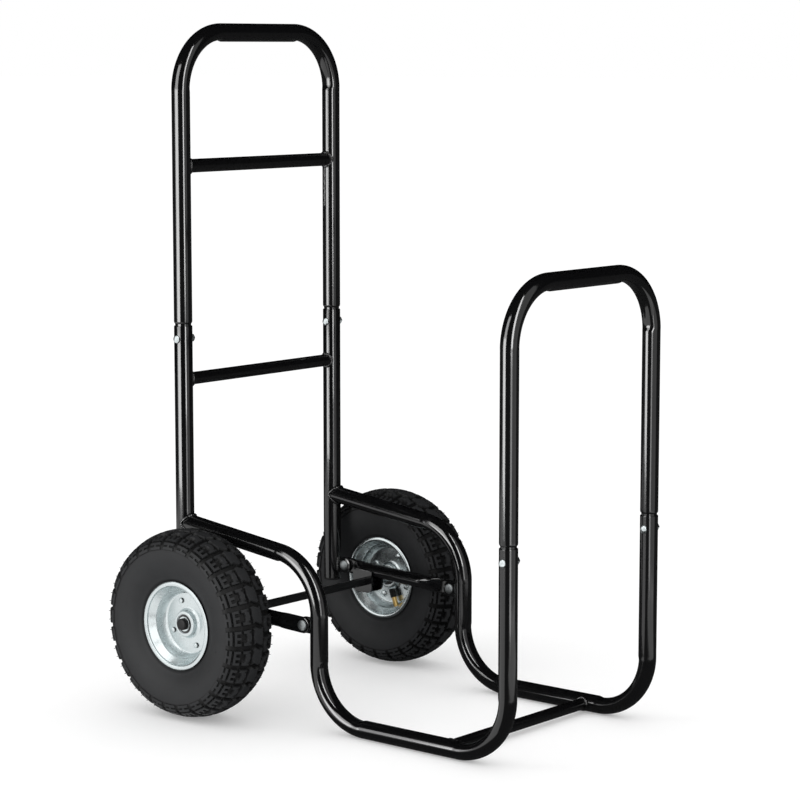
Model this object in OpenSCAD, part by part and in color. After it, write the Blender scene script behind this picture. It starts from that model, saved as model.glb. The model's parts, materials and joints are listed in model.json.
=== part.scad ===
// Fireside log cart: a bolted and welded tube frame on two air-filled wheels.
// X runs from the handle to the front, Y to the left and Z up. The floor is z = 0.

/* [Frame] */
// Distance between the centrelines of the left and right frame tubes
frame_w = 310; // [290:5:360]
// Distance from the rear upright's centreline to the front upright's
frame_len = 570; // [520:5:640]
// Outer height of the handle hoop
handle_h = 945; // [900:5:1050]
// Outer height of the front hoop
front_h = 630; // [560:5:700]
// Height of the joint between the rear upright and the handle hoop
rear_joint_z = 530; // [490:5:570]
// Height of the joint between the front upright and the front hoop
front_joint_z = 287; // [250:5:330]
// Radius of every bend, measured on the tube's centreline
bend_r = 80; // [65:5:90]
// Height of the shelf tubes at the rear uprights
shelf_z = 255; // [245:5:290]
// Fall of the shelf tubes toward the front, in degrees
shelf_fall = 7; // [2:1:10]
// Distance from the rear upright to the vertical drop of the side tube
drop_ahead = 250; // [230:5:280]
// Height of the rear upright's open lower end
upright_foot_z = 128; // [120:1:132]

/* [Tubes] */
// Diameter of the rear uprights and the handle hoop
upright_d = 25.5; // [24:0.5:28]
// Diameter of the side tubes and the front hoop
side_d = 24.5; // [22:0.5:27]
// Wall of the frame tubes
tube_wall = 1.5; // [1.2:0.1:2]
// Diameter of the bar across the handle hoop
handle_bar_d = 19; // [15:0.5:22]
// Height of the bar across the handle hoop
handle_bar_z = 750; // [700:5:800]
// Diameter of the bar across the rear uprights
rear_bar_d = 17.5; // [12:0.5:20]
// Height of the bar across the rear uprights
rear_bar_z = 455; // [400:5:480]
// Diameter of the bar between the floor runners
floor_bar_d = 16; // [12:0.5:20]
// Distance from the rear upright to the bar between the floor runners
floor_bar_ahead = 470; // [360:5:480]
// Wall of the thin bars
bar_wall = 1.2; // [1:0.1:1.5]

/* [Plug joints] */
// Length of the reduced tube end below the joint
neck_len = 45; // [35:1:60]
// Clearance between the reduced end and the bore that it enters
neck_gap = 0.1; // [0.05:0.05:0.2]
// Height of the narrow ring left open at a joint
ring_gap = 3; // [1:0.5:4]
// Distance from the joint down to its bolt
joint_bolt_drop = 18; // [14:1:24]
// Diameter of the joint bolts
joint_bolt_d = 6; // [5:0.5:7]
// Diameter of a joint bolt's domed head
joint_head_d = 11; // [10:0.5:13]
// Height of a joint bolt's domed head
joint_head_h = 3.3; // [2.5:0.1:4]
// Width across the flats of a joint nut
joint_nut_w = 10; // [9:0.5:12]
// Thickness of a joint nut
joint_nut_h = 5; // [4:0.5:6]

/* [Braces] */
// Diameter of the brace tubes
brace_d = 20; // [18:0.5:22]
// Thickness of a brace's pressed flat end
brace_flat = 5; // [4:0.5:6]
// Height of a brace's pressed flat end and of the lugs
lug_w = 22; // [20:1:25]
// Thickness of the lugs
lug_t = 4; // [3:0.5:5]
// Distance from the rear upright to the rear lug's hole
rear_lug_out = 25; // [24:0.5:28]
// Height of the rear lug's hole
rear_lug_z = 148.8; // [146:0.2:152]
// Distance from the drop back to the front lug's hole
drop_lug_out = 24; // [23:0.5:30]
// Height of the front lug's hole
drop_lug_z = 140; // [130:1:144]
// Diameter of the brace bolts
brace_bolt_d = 8; // [7:0.5:9]
// Diameter of a brace bolt's domed head
brace_head_d = 16.5; // [14:0.5:18]
// Height of a brace bolt's domed head
brace_head_h = 4.8; // [4:0.2:5.6]
// Width across the flats of a brace nut
brace_nut_w = 13; // [12:0.5:15]
// Thickness of a brace nut
brace_nut_h = 6.5; // [5:0.5:7]
// Clearance of a bolt in its hole, on the diameter
bolt_gap = 0.5; // [0.2:0.1:0.8]

/* [Axle] */
// Diameter of the axle
axle_d = 12; // [11:0.5:13]
// Distance from the rear upright to the axle
axle_ahead = 66; // [62:1:72]
// Distance from the cart's middle plane to a wheel's middle plane
wheel_y = 215; // [214:1:225]
// Thickness of the axle bracket's plate
bracket_t = 3; // [2:0.5:4]
// Length of the axle bracket
bracket_len = 36; // [30:1:40]
// Distance from the axle down to the bracket's outer face
bracket_below = 15; // [12:0.5:18]
// Diameter of the sleeve between bracket and wheel
spacer_d = 18; // [16:0.5:18]
// Diameter of the washer outside the wheel
washer_d = 22.5; // [20:0.5:24]
// Thickness of the washer outside the wheel
washer_t = 2; // [1.5:0.1:3]
// Diameter of the axle's push-on cap
cap_d = 16; // [15:0.5:20]
// Length of the axle's push-on cap
cap_len = 6.4; // [6:0.2:9]
// Running clearance on the axle's radius
axle_gap = 0.05; // [0.03:0.01:0.1]

/* [Bearings] */
// Outer diameter of a ball bearing
bearing_d = 32; // [31:0.5:33]
// Width of a ball bearing
bearing_w = 10; // [9:0.5:11]
// Radius of the circle of balls
ball_pitch_r = 11; // [10.8:0.1:11.2]
// Diameter of a ball
ball_d = 5.95; // [5.5:0.05:6.2]
// Number of balls in a bearing
balls = 8; // [6:1:9]
// Clearance of a ball in its grooves, on the radius
ball_gap = 0.06; // [0.04:0.01:0.1]

/* [Rims] */
// Diameter of the cylinder that the tyre's beads sit on
bead_seat_d = 101.6; // [100:0.2:106]
// Thickness of the pressed rim sheet
rim_t = 1.8; // [1.5:0.1:2]
// Distance between the outer edges of the two rim flanges
rim_w = 55; // [52:0.2:60]
// Height of the rim flange above the bead seat
flange_h = 9.6; // [9:0.2:12]
// Diameter of the flat disc of the rim
disc_d = 83; // [78:1:86]
// Diameter of the opening in the hub's lip
hub_open_d = 27.6; // [26:0.2:28.4]
// Diameter of the circle of rivets
rivet_circle_d = 65; // [56:1:70]
// Diameter of a rivet's shank
rivet_d = 6; // [5:0.5:7]
// Number of rivets in a rim
rivets = 4; // [3:1:6]
// Angle of the first rivet
rivet_turn = 25; // [0:1:60]

/* [Tyres] */
// Outer diameter of a tyre
tyre_d = 260; // [252:1:266]
// Width of a tyre over its shoulder blocks
tyre_w = 83; // [78:0.5:85]
// Radius of the crown across the tread
crown_r = 68; // [60:1:80]
// Radius of the rounded shoulder
shoulder_r = 17.5; // [15:0.5:20]
// Depth of the tread
tread_depth = 4; // [3:0.5:5]
// Number of tread blocks round a tyre
pitches = 28; // [20:4:32]
// Thickness of the tyre's casing
casing_t = 5; // [4:0.5:6]
// Thickness of the inner tube's wall
tube_t = 2; // [1.5:0.1:2.5]
// Diameter of the valve stem
valve_d = 7.6; // [7:0.2:8.4]
// Angle of the valve round the wheel
valve_turn = 70; // [50:1:100]

/* [Hidden] */
$fn = 96;

black = [0.06, 0.06, 0.065];
zinc = [0.78, 0.78, 0.76];
steel = [0.62, 0.63, 0.65];
rubber = [0.13, 0.13, 0.14];
plastic = [0.09, 0.09, 0.09];
brass = [0.72, 0.6, 0.32];

// The part stands with the middle of its length at x = 0.
upright_x = -(frame_len + side_d / 2 + axle_ahead - tyre_d / 2) / 2;
front_x = upright_x + frame_len;
drop_x = upright_x + drop_ahead;
axle_x = upright_x + axle_ahead;
axle_z = tyre_d / 2;
side_y = frame_w / 2;
runner_z = side_d / 2;
corner_z = shelf_z - drop_ahead * tan(shelf_fall);
bend_draw = 0.05;
bend_lap = 0.5;

// Plug joints
shoulder_h = 4;
mouth_edge = 0.6;
joint_hole_d = joint_bolt_d + bolt_gap;
plug_head = 3;
plug_len = 12;
plug_wall = 2;
plug_r = upright_d / 2 - tube_wall - neck_gap;
brace_hole_d = brace_bolt_d + bolt_gap;

// Braces, outside the lugs
brace_rear = [upright_x + rear_lug_out, rear_lug_z];
brace_front = [drop_x - drop_lug_out, drop_lug_z];
brace_run = norm(brace_front - brace_rear);
brace_tilt = atan2(brace_rear[1] - brace_front[1], brace_front[0] - brace_rear[0]);
brace_y = side_y + lug_t / 2 + brace_flat / 2;
flat_len = 14;
taper_len = 24;
brace_z_at_axle = brace_rear[1] - (axle_x - brace_rear[0]) * tan(brace_tilt);

// Axle stack, in distances from a wheel's middle plane
bracket_out = brace_y + brace_d / 2 + bracket_t;
bracket_in = brace_y - brace_d / 2 - bracket_t;
bearing_gap = 0.04;
cap_u = bearing_w + washer_t;
axle_end_u = cap_u + cap_len - 1.4;

// Rim sheet, in radius and distance from the middle plane
seat_r = bead_seat_d / 2;
cup_r = bearing_d / 2 + rim_t / 2 + 0.02;
rim_line = [[hub_open_d / 2, bearing_w + rim_t / 2], [cup_r, bearing_w + rim_t / 2], [cup_r, 4],
    [cup_r + 3.9, rim_t / 2], [disc_d / 2, rim_t / 2], [seat_r - rim_t / 2 - 1.3, 9.5],
    [seat_r - rim_t / 2, 12], [seat_r - rim_t / 2, rim_w / 2 - 5.9],
    [seat_r + 1.7, rim_w / 2 - 2.7], [seat_r + flange_h - 1.6, rim_w / 2 - 1.3],
    [seat_r + flange_h, rim_w / 2]];
rivet_hole_d = rivet_d + 0.2;
rivet_nub_h = 3;
rivet_head_h = 2.5;

// Tyre section
half_w = tyre_w / 2;
crown_c = [tyre_d / 2 - crown_r, 0];
shoulder_u = half_w - shoulder_r;
shoulder_c = [crown_c[0] + sqrt(pow(crown_r - shoulder_r, 2) - pow(shoulder_u, 2)), shoulder_u];
blend = atan2(shoulder_c[0] - crown_c[0], shoulder_u);
lug_step = 1.5;
casing_w = half_w - lug_step;
casing_r = crown_r - tread_depth;
side_top = shoulder_c[0] - 2;
side_low = seat_r + flange_h + 1.1;
side_in = casing_w - rim_w / 2 + 2.4;
side_r = (pow(side_top - 4 - side_low, 2) + pow(side_in, 2)) / (2 * side_in);
side_c = [side_top - 4, casing_w - side_r];
casing_sr = shoulder_r - 0.5;
bead_u = rim_w / 2 - 6.4;
bead_open = 14;
row_1 = 13;
row_2 = 25;
groove_w = 2;
pitch_a = 360 / pitches;
tube_gap = 0.3;
tube_bed_r = seat_r + 1.4;
valve_u = -9;
valve_tip_r = 27;
valve_cap_d = 9.5;
valve_cap_r = 20;

// ---------- helpers ----------

function heading(p, i) = atan2(p[i + 1][1] - p[i][1], p[i + 1][0] - p[i][0]);
function wrapped(a) = a > 180 ? a - 360 : a < -180 ? a + 360 : a;
function turn(p, i) = wrapped(heading(p, i) - heading(p, i - 1));
function trim(p, i, r) = i == 0 || i == len(p) - 1 ? 0 : r * tan(abs(turn(p, i)) / 2);
function along(a, h, s) = [a[0] + s * cos(h), a[1] + s * sin(h)];
// Points on an arc whose angle is measured from the axial direction
function arc(c, r, a, b, n) =
    [for (i = [0:n]) let (t = a + (b - a) * i / n) [c[0] + r * sin(t), c[1] + r * cos(t)]];
function flipped(p) = [for (i = [len(p) - 1:-1:0]) [p[i][0], -p[i][1]]];
// One side of a sheet that follows a line, with mitred corners
function side_of(p, e) = let (n = len(p) - 1)
    [for (i = [0:n]) let (a = heading(p, max(i - 1, 0)), b = heading(p, min(i, n - 1)),
        m = (a + b + (abs(a - b) > 180 ? 360 : 0)) / 2, k = e / cos((b - a) / 2))
        [p[i][0] - k * sin(m), p[i][1] + k * cos(m)]];
function sheet(p, t) = let (a = side_of(p, t / 2), b = side_of(p, -t / 2))
    concat(a, [for (i = [len(b) - 1:-1:0]) b[i]]);

// A tube along a flat path in the XY plane, with every corner bent to radius r. Bending draws the
// tube a little slimmer, so each bend laps inside the wall of the straights that it joins.
module tube_run(p, d, w, r) {
    lap = bend_lap / r * 180 / PI;
    for (i = [0:len(p) - 2]) let (h = heading(p, i), s = trim(p, i, r), e = trim(p, i + 1, r))
        translate([p[i][0] + s * cos(h), p[i][1] + s * sin(h), 0]) rotate([0, 0, h]) rotate([90, 0, 90])
            linear_extrude(norm(p[i + 1] - p[i]) - s - e) tube_section(d, w);
    for (i = [1:len(p) - 2]) let (h = heading(p, i - 1), t = turn(p, i), q = along(p[i], h, -trim(p, i, r)),
        o = t > 0 ? 1 : -1)
        translate([q[0] - o * r * sin(h), q[1] + o * r * cos(h), 0])
            rotate([0, 0, (t > 0 ? h - 90 : h + 90 + t) - lap])
                rotate_extrude(angle = abs(t) + 2 * lap) translate([r, 0])
                    tube_section(d - 2 * bend_draw, w - 2 * bend_draw);
}

module tube_section(d, w) difference() {
    circle(d = d);
    circle(d = d - 2 * w);
}

module in_side_plane(y) translate([0, y, 0]) rotate([90, 0, 0]) children();
module in_hoop_plane(x) translate([x, 0, 0]) rotate([90, 0, 90]) children();
module on_axle(side) translate([axle_x, side * wheel_y, axle_z])
    rotate([side > 0 ? -90 : 90, 0, 0]) children();

// Reduced tube end with its rounded shoulder, z = 0 at the joint
module plug_end(d) {
    r = d / 2;
    n = r - tube_wall - neck_gap;
    k = shoulder_h / 4;
    rotate_extrude() polygon([[n, -neck_len + 1.5 * k], [n, ring_gap], [r - 1.2 * k, ring_gap + 0.6 * k],
        [r, ring_gap + 2.2 * k], [r, ring_gap + 4 * k], [r - tube_wall, ring_gap + 4 * k],
        [r - tube_wall, ring_gap + 3.4 * k], [n - tube_wall, ring_gap + 1.6 * k], [n - tube_wall, -neck_len],
        [n - 0.5 * k, -neck_len]]);
}

// The mouth of the lower tube, with its broken outer edge, from z = -h to 0
module tube_mouth(d, h) {
    rotate_extrude() polygon([[d / 2 - tube_wall, -h], [d / 2, -h], [d / 2, -mouth_edge],
        [d / 2 - mouth_edge, 0], [d / 2 - tube_wall, 0]]);
}

// A hoop whose two reduced ends enter the tubes below it
module hoop(x, d, joint_z, top_z) {
    low = joint_z + ring_gap + shoulder_h;
    axis_z = top_z - d / 2;
    difference() {
        union() {
            in_hoop_plane(x) tube_run([[-side_y, low], [-side_y, axis_z], [side_y, axis_z], [side_y, low]],
                d, tube_wall, bend_r);
            for (y = [-side_y, side_y]) translate([x, y, joint_z]) plug_end(d);
        }
        joint_holes(x, joint_z);
    }
}

module joint_holes(x, joint_z) {
    for (y = [-side_y, side_y]) translate([x, y, joint_z - joint_bolt_drop]) rotate([90, 0, 0])
        cylinder(d = joint_hole_d, h = 2 * upright_d, center = true);
}

// A bolt along -Y: its head's flat face lies at y = 0, the head toward -Y, the shank toward +Y
module domed_bolt(head_d, head_h, shank_d, len) {
    rotate([90, 0, 0]) rotate_extrude() polygon(concat([[0, -len], [shank_d / 2 - 0.6, -len],
        [shank_d / 2, -len + 0.6], [shank_d / 2, 0], [head_d / 2, 0], [head_d / 2, 0.7]],
        [for (a = [15:15:75]) [head_d / 2 * cos(a), 0.7 + (head_h - 0.7) * sin(a)]], [[0, head_h]]));
}

// A hexagon nut from y = 0 toward +Y
module hex_nut(w, h, hole_d) {
    rotate([-90, 0, 0]) difference() {
        intersection() {
            cylinder(d = w / cos(30), h = h, $fn = 6);
            rotate_extrude() polygon([[0, 0], [w / 2 + 0.2, 0], [w, w / 4], [w, h - w / 4],
                [w / 2 + 0.2, h], [0, h]]);
        }
        translate([0, 0, -1]) cylinder(d = hole_d, h = h + 2);
    }
}

module cross_tube(x, z, d) {
    rotate([90, 0, 0]) translate([x, z, -side_y]) difference() {
        cylinder(d = d, h = frame_w);
        translate([0, 0, -1]) cylinder(d = d - 2 * bar_wall, h = frame_w + 2);
    }
}

// ---------- frame ----------

module handle_hoop() color(black) hoop(upright_x, upright_d, rear_joint_z, handle_h);

module front_hoop() color(black) hoop(front_x, side_d, front_joint_z, front_h);

module handle_crossbar() color(black) difference() {
    cross_tube(upright_x, handle_bar_z, handle_bar_d);
    for (y = [-side_y, side_y]) translate([upright_x, y, handle_bar_z - handle_bar_d])
        cylinder(d = upright_d, h = 2 * handle_bar_d);
}

module rear_crossbar() color(black) difference() {
    cross_tube(upright_x, rear_bar_z, rear_bar_d);
    for (y = [-side_y, side_y]) translate([upright_x, y, rear_bar_z - rear_bar_d])
        cylinder(d = upright_d, h = 2 * rear_bar_d);
}

module floor_crossbar() color(black) difference() {
    cross_tube(upright_x + floor_bar_ahead, runner_z, floor_bar_d);
    for (y = [-side_y, side_y]) translate([upright_x + floor_bar_ahead - floor_bar_d, y, runner_z])
        rotate([0, 90, 0]) cylinder(d = side_d, h = 2 * floor_bar_d);
}

module rear_upright(side) color(black) difference() {
    translate([upright_x, side * side_y, rear_joint_z])
        tube_mouth(upright_d, rear_joint_z - upright_foot_z);
    joint_holes(upright_x, rear_joint_z);
}

// Shelf, drop, floor runner and front upright in one bent tube
module side_tube(side) color(black) difference() {
    union() {
        in_side_plane(side * side_y) tube_run([[upright_x, shelf_z], [drop_x, corner_z], [drop_x, runner_z],
            [front_x, runner_z], [front_x, front_joint_z - 10]], side_d, tube_wall, bend_r);
        translate([front_x, side * side_y, front_joint_z]) tube_mouth(side_d, 10);
    }
    translate([upright_x, side * side_y, shelf_z - 1.5 * side_d]) cylinder(d = upright_d, h = 3 * side_d);
    joint_holes(front_x, front_joint_z);
}

module upright_plugs() color(plastic) for (side = [-1, 1])
    translate([upright_x, side * side_y, upright_foot_z]) rotate_extrude()
        polygon([[0, -plug_head], [upright_d / 2 - plug_head / 2, -plug_head],
            [upright_d / 2, -plug_head / 2], [upright_d / 2, 0], [plug_r, 0],
            [plug_r, plug_len - plug_wall / 2], [plug_r - plug_wall / 2, plug_len],
            [plug_r - plug_wall, plug_len], [plug_r - plug_wall, plug_wall], [0, plug_wall]]);

// ---------- braces and lugs ----------

// A plate with one round end: the hole at the origin, the plate toward +X
module lug_plate(reach) {
    rotate([90, 0, 0]) linear_extrude(lug_t, center = true) difference() {
        union() {
            circle(d = lug_w);
            translate([0, -lug_w / 2]) square([reach, lug_w]);
        }
        circle(d = brace_hole_d);
    }
}

module drop_lugs() color(black) for (side = [-1, 1]) difference() {
    translate([brace_front[0], side * side_y, brace_front[1]]) lug_plate(drop_lug_out);
    translate([drop_x, side * side_y, brace_front[1] - 30]) cylinder(d = side_d, h = 60);
}

module upright_lugs() color(black) for (side = [-1, 1]) difference() {
    translate([brace_rear[0], side * side_y, brace_rear[1]]) rotate([0, 180, 0]) lug_plate(rear_lug_out);
    translate([upright_x, side * side_y, brace_rear[1] - 30]) cylinder(d = upright_d, h = 60);
}

// One pressed end: flat plate round the hole at the origin, then a taper to the round tube
module pressed_end() {
    rotate([90, 0, 0]) linear_extrude(brace_flat, center = true) union() {
        circle(d = lug_w);
        translate([0, -lug_w / 2]) square([flat_len, lug_w]);
    }
    hull() {
        translate([flat_len, 0, 0]) cube([0.02, brace_flat, lug_w], center = true);
        translate([flat_len + taper_len, 0, 0]) rotate([0, 90, 0]) cylinder(d = brace_d, h = 0.02, $fn = 32);
    }
}

module brace(side) color(black)
    translate([brace_rear[0], side * brace_y, brace_rear[1]]) rotate([0, brace_tilt, 0]) difference() {
        union() {
            pressed_end();
            translate([brace_run, 0, 0]) rotate([0, 0, 180]) pressed_end();
            translate([flat_len + taper_len, 0, 0]) rotate([0, 90, 0])
                cylinder(d = brace_d, h = brace_run - 2 * (flat_len + taper_len));
        }
        for (x = [0, brace_run]) translate([x, 0, 0]) rotate([90, 0, 0])
            cylinder(d = brace_hole_d, h = 3 * brace_flat, center = true);
    }

// Folded bracket: two cheeks beside the brace, joined below the axle
module axle_bracket(side) color(black) difference() {
    translate([axle_x, side * brace_y, 0]) rotate([90, 0, 0])
        linear_extrude(bracket_out - bracket_in, center = true)
            bracket_outline();
    translate([axle_x - bracket_len, side * brace_y - brace_d / 2, axle_z - bracket_below + bracket_t])
        cube([2 * bracket_len, brace_d, 100]);
    on_axle(side) cylinder(d = axle_d + 2 * axle_gap, h = 200, center = true);
}

module bracket_outline() {
    low = axle_z - bracket_below;
    c = 8;
    polygon(concat([[bracket_len / 2, brace_z_at_axle], [-bracket_len / 2, brace_z_at_axle]],
        [for (a = [180:15:270]) [-bracket_len / 2 + c + c * cos(a), low + c + c * sin(a)]],
        [for (a = [270:15:360]) [bracket_len / 2 - c + c * cos(a), low + c + c * sin(a)]]));
}

// ---------- axle stack ----------

module axle() color(black) translate([axle_x, 0, axle_z]) rotate([90, 0, 0]) rotate_extrude()
    polygon([[0, -wheel_y - axle_end_u], [axle_d / 2 - 0.8, -wheel_y - axle_end_u],
        [axle_d / 2, -wheel_y - axle_end_u + 0.8], [axle_d / 2, wheel_y + axle_end_u - 0.8],
        [axle_d / 2 - 0.8, wheel_y + axle_end_u], [0, wheel_y + axle_end_u]]);

module axle_spacer(side) color(zinc) on_axle(side) translate([0, 0, bracket_out - wheel_y]) difference() {
    cylinder(d = spacer_d, h = wheel_y - bracket_out - bearing_w);
    translate([0, 0, -1]) cylinder(d = axle_d + 2 * axle_gap, h = wheel_y);
}

module axle_washers() color(zinc) for (side = [-1, 1]) on_axle(side)
    translate([0, 0, bearing_w]) difference() {
    cylinder(d = washer_d, h = washer_t);
    translate([0, 0, -1]) cylinder(d = axle_d + 2 * axle_gap, h = washer_t + 2);
}

module axle_cap(side) color(plastic) on_axle(side) translate([0, 0, cap_u]) rotate_extrude()
    polygon([[axle_d / 2 + axle_gap, 0], [cap_d / 2, 0], [cap_d / 2, cap_len - 2.2],
        [cap_d / 2 - 0.5, cap_len - 1.2], [cap_d / 2 - 1.6, cap_len - 0.4], [0, cap_len],
        [0, cap_len - 1.2], [axle_d / 2 + axle_gap, cap_len - 1.2]]);

module race(r1, r2) rotate_extrude() difference() {
    translate([r1, 0]) square([r2 - r1, bearing_w - bearing_gap]);
    translate([ball_pitch_r, bearing_w / 2]) circle(r = ball_d / 2 + ball_gap);
}

module each_bearing(side) for (u = [-bearing_w, bearing_gap])
    on_axle(side) translate([0, 0, u]) children();

module bearing_inner_races(side) color(steel) each_bearing(side)
    race(axle_d / 2 + 0.03, ball_pitch_r - 2.1);

module bearing_outer_races(side) color(steel) each_bearing(side)
    race(ball_pitch_r + 2.1, bearing_d / 2);

module bearing_balls(side) color(steel) each_bearing(side)
    for (i = [0:balls - 1]) rotate([0, 0, i * 360 / balls]) translate([ball_pitch_r, 0, bearing_w / 2])
        sphere(d = ball_d, $fn = 32);

module bearing_seals(side) color(plastic) each_bearing(side) for (u = [0.3, bearing_w - 1.2])
    translate([0, 0, u]) difference() {
        cylinder(r = ball_pitch_r + 2.08, h = 0.9);
        translate([0, 0, -1]) cylinder(r = ball_pitch_r - 2, h = 3);
    }

// ---------- rims ----------

module rivet_places() for (i = [0:rivets - 1]) rotate([0, 0, rivet_turn + i * 360 / rivets])
    translate([rivet_circle_d / 2, 0, 0]) children();

module rim_half() difference() {
    rotate_extrude() polygon(sheet(rim_line, rim_t));
    rivet_places() translate([0, 0, -5]) cylinder(d = rivet_hole_d, h = 10);
}

module rim_outer(side) color(zinc) on_axle(side) rim_half();

module rim_inner(side) color(zinc) on_axle(side) difference() {
    rotate([0, 180, 0]) rotate([0, 0, 180 - 2 * rivet_turn]) rim_half();
    rotate([0, 0, valve_turn]) translate([0, 0, valve_u]) rotate([0, 90, 0])
        translate([0, 0, 30]) cylinder(d = valve_d + 0.4, h = 30);
}

module rim_rivets(side) color(zinc) on_axle(side) rivet_places() rotate_extrude()
    polygon([[0, -rim_t - rivet_head_h], [rivet_d / 2 - 0.6, -rim_t - rivet_head_h + 0.1],
        [rivet_d / 2 + 1.1, -rim_t - rivet_head_h + 0.8], [rivet_d / 2 + 2.2, -rim_t - 0.9],
        [rivet_d / 2 + 2.5, -rim_t], [rivet_d / 2, -rim_t], [rivet_d / 2, rim_t], [rivet_d / 2 + 0.6, rim_t],
        [rivet_d / 2 + 0.6, rim_t + rivet_nub_h - 0.8], [rivet_d / 2 - 0.3, rim_t + rivet_nub_h],
        [0, rim_t + rivet_nub_h]]);

// ---------- tyres ----------

function crown_at(r, u) = crown_c[0] + sqrt(r * r - u * u);
function crown_band(r, u0, u1, n) = [for (i = [0:n]) let (u = u0 + (u1 - u0) * i / n) [crown_at(r, u), u]];
// The bulging sidewall from the bead to the shoulder
function sidewall(n) = [for (i = [0:n]) let (x = side_low + (side_top - side_low) * i / n)
    [x, side_c[1] + sqrt(pow(side_r, 2) - pow(x - side_c[0], 2))]];
// Casing under the tread, from the shoulder to the crown
casing_c = [shoulder_c[0] - 2, casing_w - casing_sr];
casing_top = concat(arc(casing_c, casing_sr, 0, 54, 4), crown_band(casing_r, casing_w - 12, 0, 4));

bead = [[seat_r + 0.05, bead_open], [seat_r + 0.05, bead_u], [seat_r + 2.2, rim_w / 2 - 4.1],
    [seat_r + 7.2, rim_w / 2 - 2.9]];
// Blocks and the grooves that run round the tyre
tread_half = concat(
    [[side_top + 0.6, half_w - 0.1]], arc(shoulder_c, shoulder_r, 8, blend - 4, 4),
    crown_band(crown_r, row_2 + groove_w + 2, row_2 + groove_w, 1),
    [[crown_at(casing_r, row_2 + groove_w), row_2 + groove_w - 0.4],
    [crown_at(casing_r, row_2 + 0.4), row_2 + 0.4]],
    crown_band(crown_r, row_2, row_1 + groove_w, 2),
    [[crown_at(casing_r, row_1 + groove_w), row_1 + groove_w - 0.4],
    [crown_at(casing_r, row_1 + 0.4), row_1 + 0.4]],
    crown_band(crown_r, row_1, 0, 3));
outer_half = concat(bead, sidewall(6), tread_half);

// Cavity, an even casing thickness inside the outline
cavity_low = seat_r + 1.8 * casing_t;
cavity_half = function (e) concat(
    [[seat_r + 1.24 * casing_t + e, bead_open + tube_gap - e]],
    [for (i = [0:5]) let (x = cavity_low + (side_top - cavity_low) * i / 5)
        [x, side_c[1] + sqrt(pow(side_r - casing_t - e, 2) - pow(x - side_c[0], 2))]],
    arc(casing_c, casing_sr - casing_t - e, 12, 52, 3),
    crown_band(casing_r - 1.2 * casing_t - e, casing_w - 16, 0, 4));

// Zig-zag gap across the three middle rows, in distance across and along the tread
slot_line = [[-row_2 - 1.2, -9], [-row_1 - 1.4, -8], [-row_1 - 0.6, -3.5], [-8, 3.5], [-3, -2.5],
    [3, 2.5], [8, -3.5], [row_1 + 0.6, 3.5], [row_1 + 1.4, 8], [row_2 + 1.2, 9]];
slot_w = 4;
slot_shape = concat([for (p = slot_line) [-p[0], p[1] + slot_w / 2]],
    [for (i = [len(slot_line) - 1:-1:0]) [-slot_line[i][0], slot_line[i][1] - slot_w / 2]]);

module tread_gaps() difference() {
    for (i = [0:pitches - 1]) rotate([0, 0, (i + 0.5) * pitch_a]) {
        rotate([0, 90, 0]) translate([0, 0, crown_at(casing_r, row_2 + groove_w) - 4])
            linear_extrude(20) polygon(slot_shape);
    }
    for (i = [0:pitches - 1], s = [-1, 1]) rotate([0, 0, i * pitch_a]) translate([side_top - 3, -3.5,
        s > 0 ? row_2 + groove_w - 1 : -row_2 - groove_w - 23]) cube([40, 7, 24]);
    rotate_extrude() polygon(concat([[seat_r, casing_w - 9], [side_top - 6, casing_w]],
        casing_top, flipped(casing_top), [[side_top - 6, -casing_w], [seat_r, 9 - casing_w]]));
}

module tyre(side) color(rubber) on_axle(side) difference() {
    rotate_extrude() polygon(concat(outer_half, flipped(outer_half)));
    rotate_extrude() polygon(concat([[seat_r - 5, bead_open]], cavity_half(0), flipped(cavity_half(0)),
        [[seat_r - 5, -bead_open]]));
    tread_gaps();
}

module inner_tube(side) color(rubber) on_axle(side) rotate_extrude() difference() {
    polygon(concat([[tube_bed_r, bead_open - tube_gap]], cavity_half(tube_gap),
        flipped(cavity_half(tube_gap)), [[tube_bed_r, tube_gap - bead_open]]));
    polygon(concat([[tube_bed_r + tube_t, bead_open - tube_gap - tube_t]], cavity_half(tube_gap + tube_t),
        flipped(cavity_half(tube_gap + tube_t)), [[tube_bed_r + tube_t, tube_gap + tube_t - bead_open]]));
}

module at_valve(side) on_axle(side) rotate([0, 0, valve_turn]) translate([0, 0, valve_u])
    rotate([0, 90, 0]) children();

module valve(side) color(brass) at_valve(side) translate([0, 0, valve_tip_r])
    cylinder(d = valve_d, h = tube_bed_r - valve_tip_r - 0.2);

module valve_cap(side) color(plastic) at_valve(side) rotate_extrude()
    polygon([[0, valve_cap_r], [valve_cap_d / 2 - 1, valve_cap_r], [valve_cap_d / 2, valve_cap_r + 1],
        [valve_cap_d / 2, valve_tip_r + 6], [valve_d / 2 + 0.1, valve_tip_r + 6],
        [valve_d / 2 + 0.1, valve_tip_r - 0.2], [0, valve_tip_r - 0.2]]);

// ---------- fasteners ----------

module joint_bolts(x, joint_z, d) for (side = [-1, 1])
    translate([x, side * side_y - d / 2, joint_z - joint_bolt_drop])
        domed_bolt(joint_head_d, joint_head_h, joint_bolt_d, d + joint_nut_h + 2);

module joint_nuts(x, joint_z, d) for (side = [-1, 1])
    translate([x, side * side_y + d / 2, joint_z - joint_bolt_drop])
        hex_nut(joint_nut_w, joint_nut_h, joint_bolt_d + 0.06);

module handle_bolts() color(zinc) joint_bolts(upright_x, rear_joint_z, upright_d);
module handle_nuts() color(zinc) joint_nuts(upright_x, rear_joint_z, upright_d);
module front_bolts() color(zinc) joint_bolts(front_x, front_joint_z, side_d);
module front_nuts() color(zinc) joint_nuts(front_x, front_joint_z, side_d);

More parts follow.
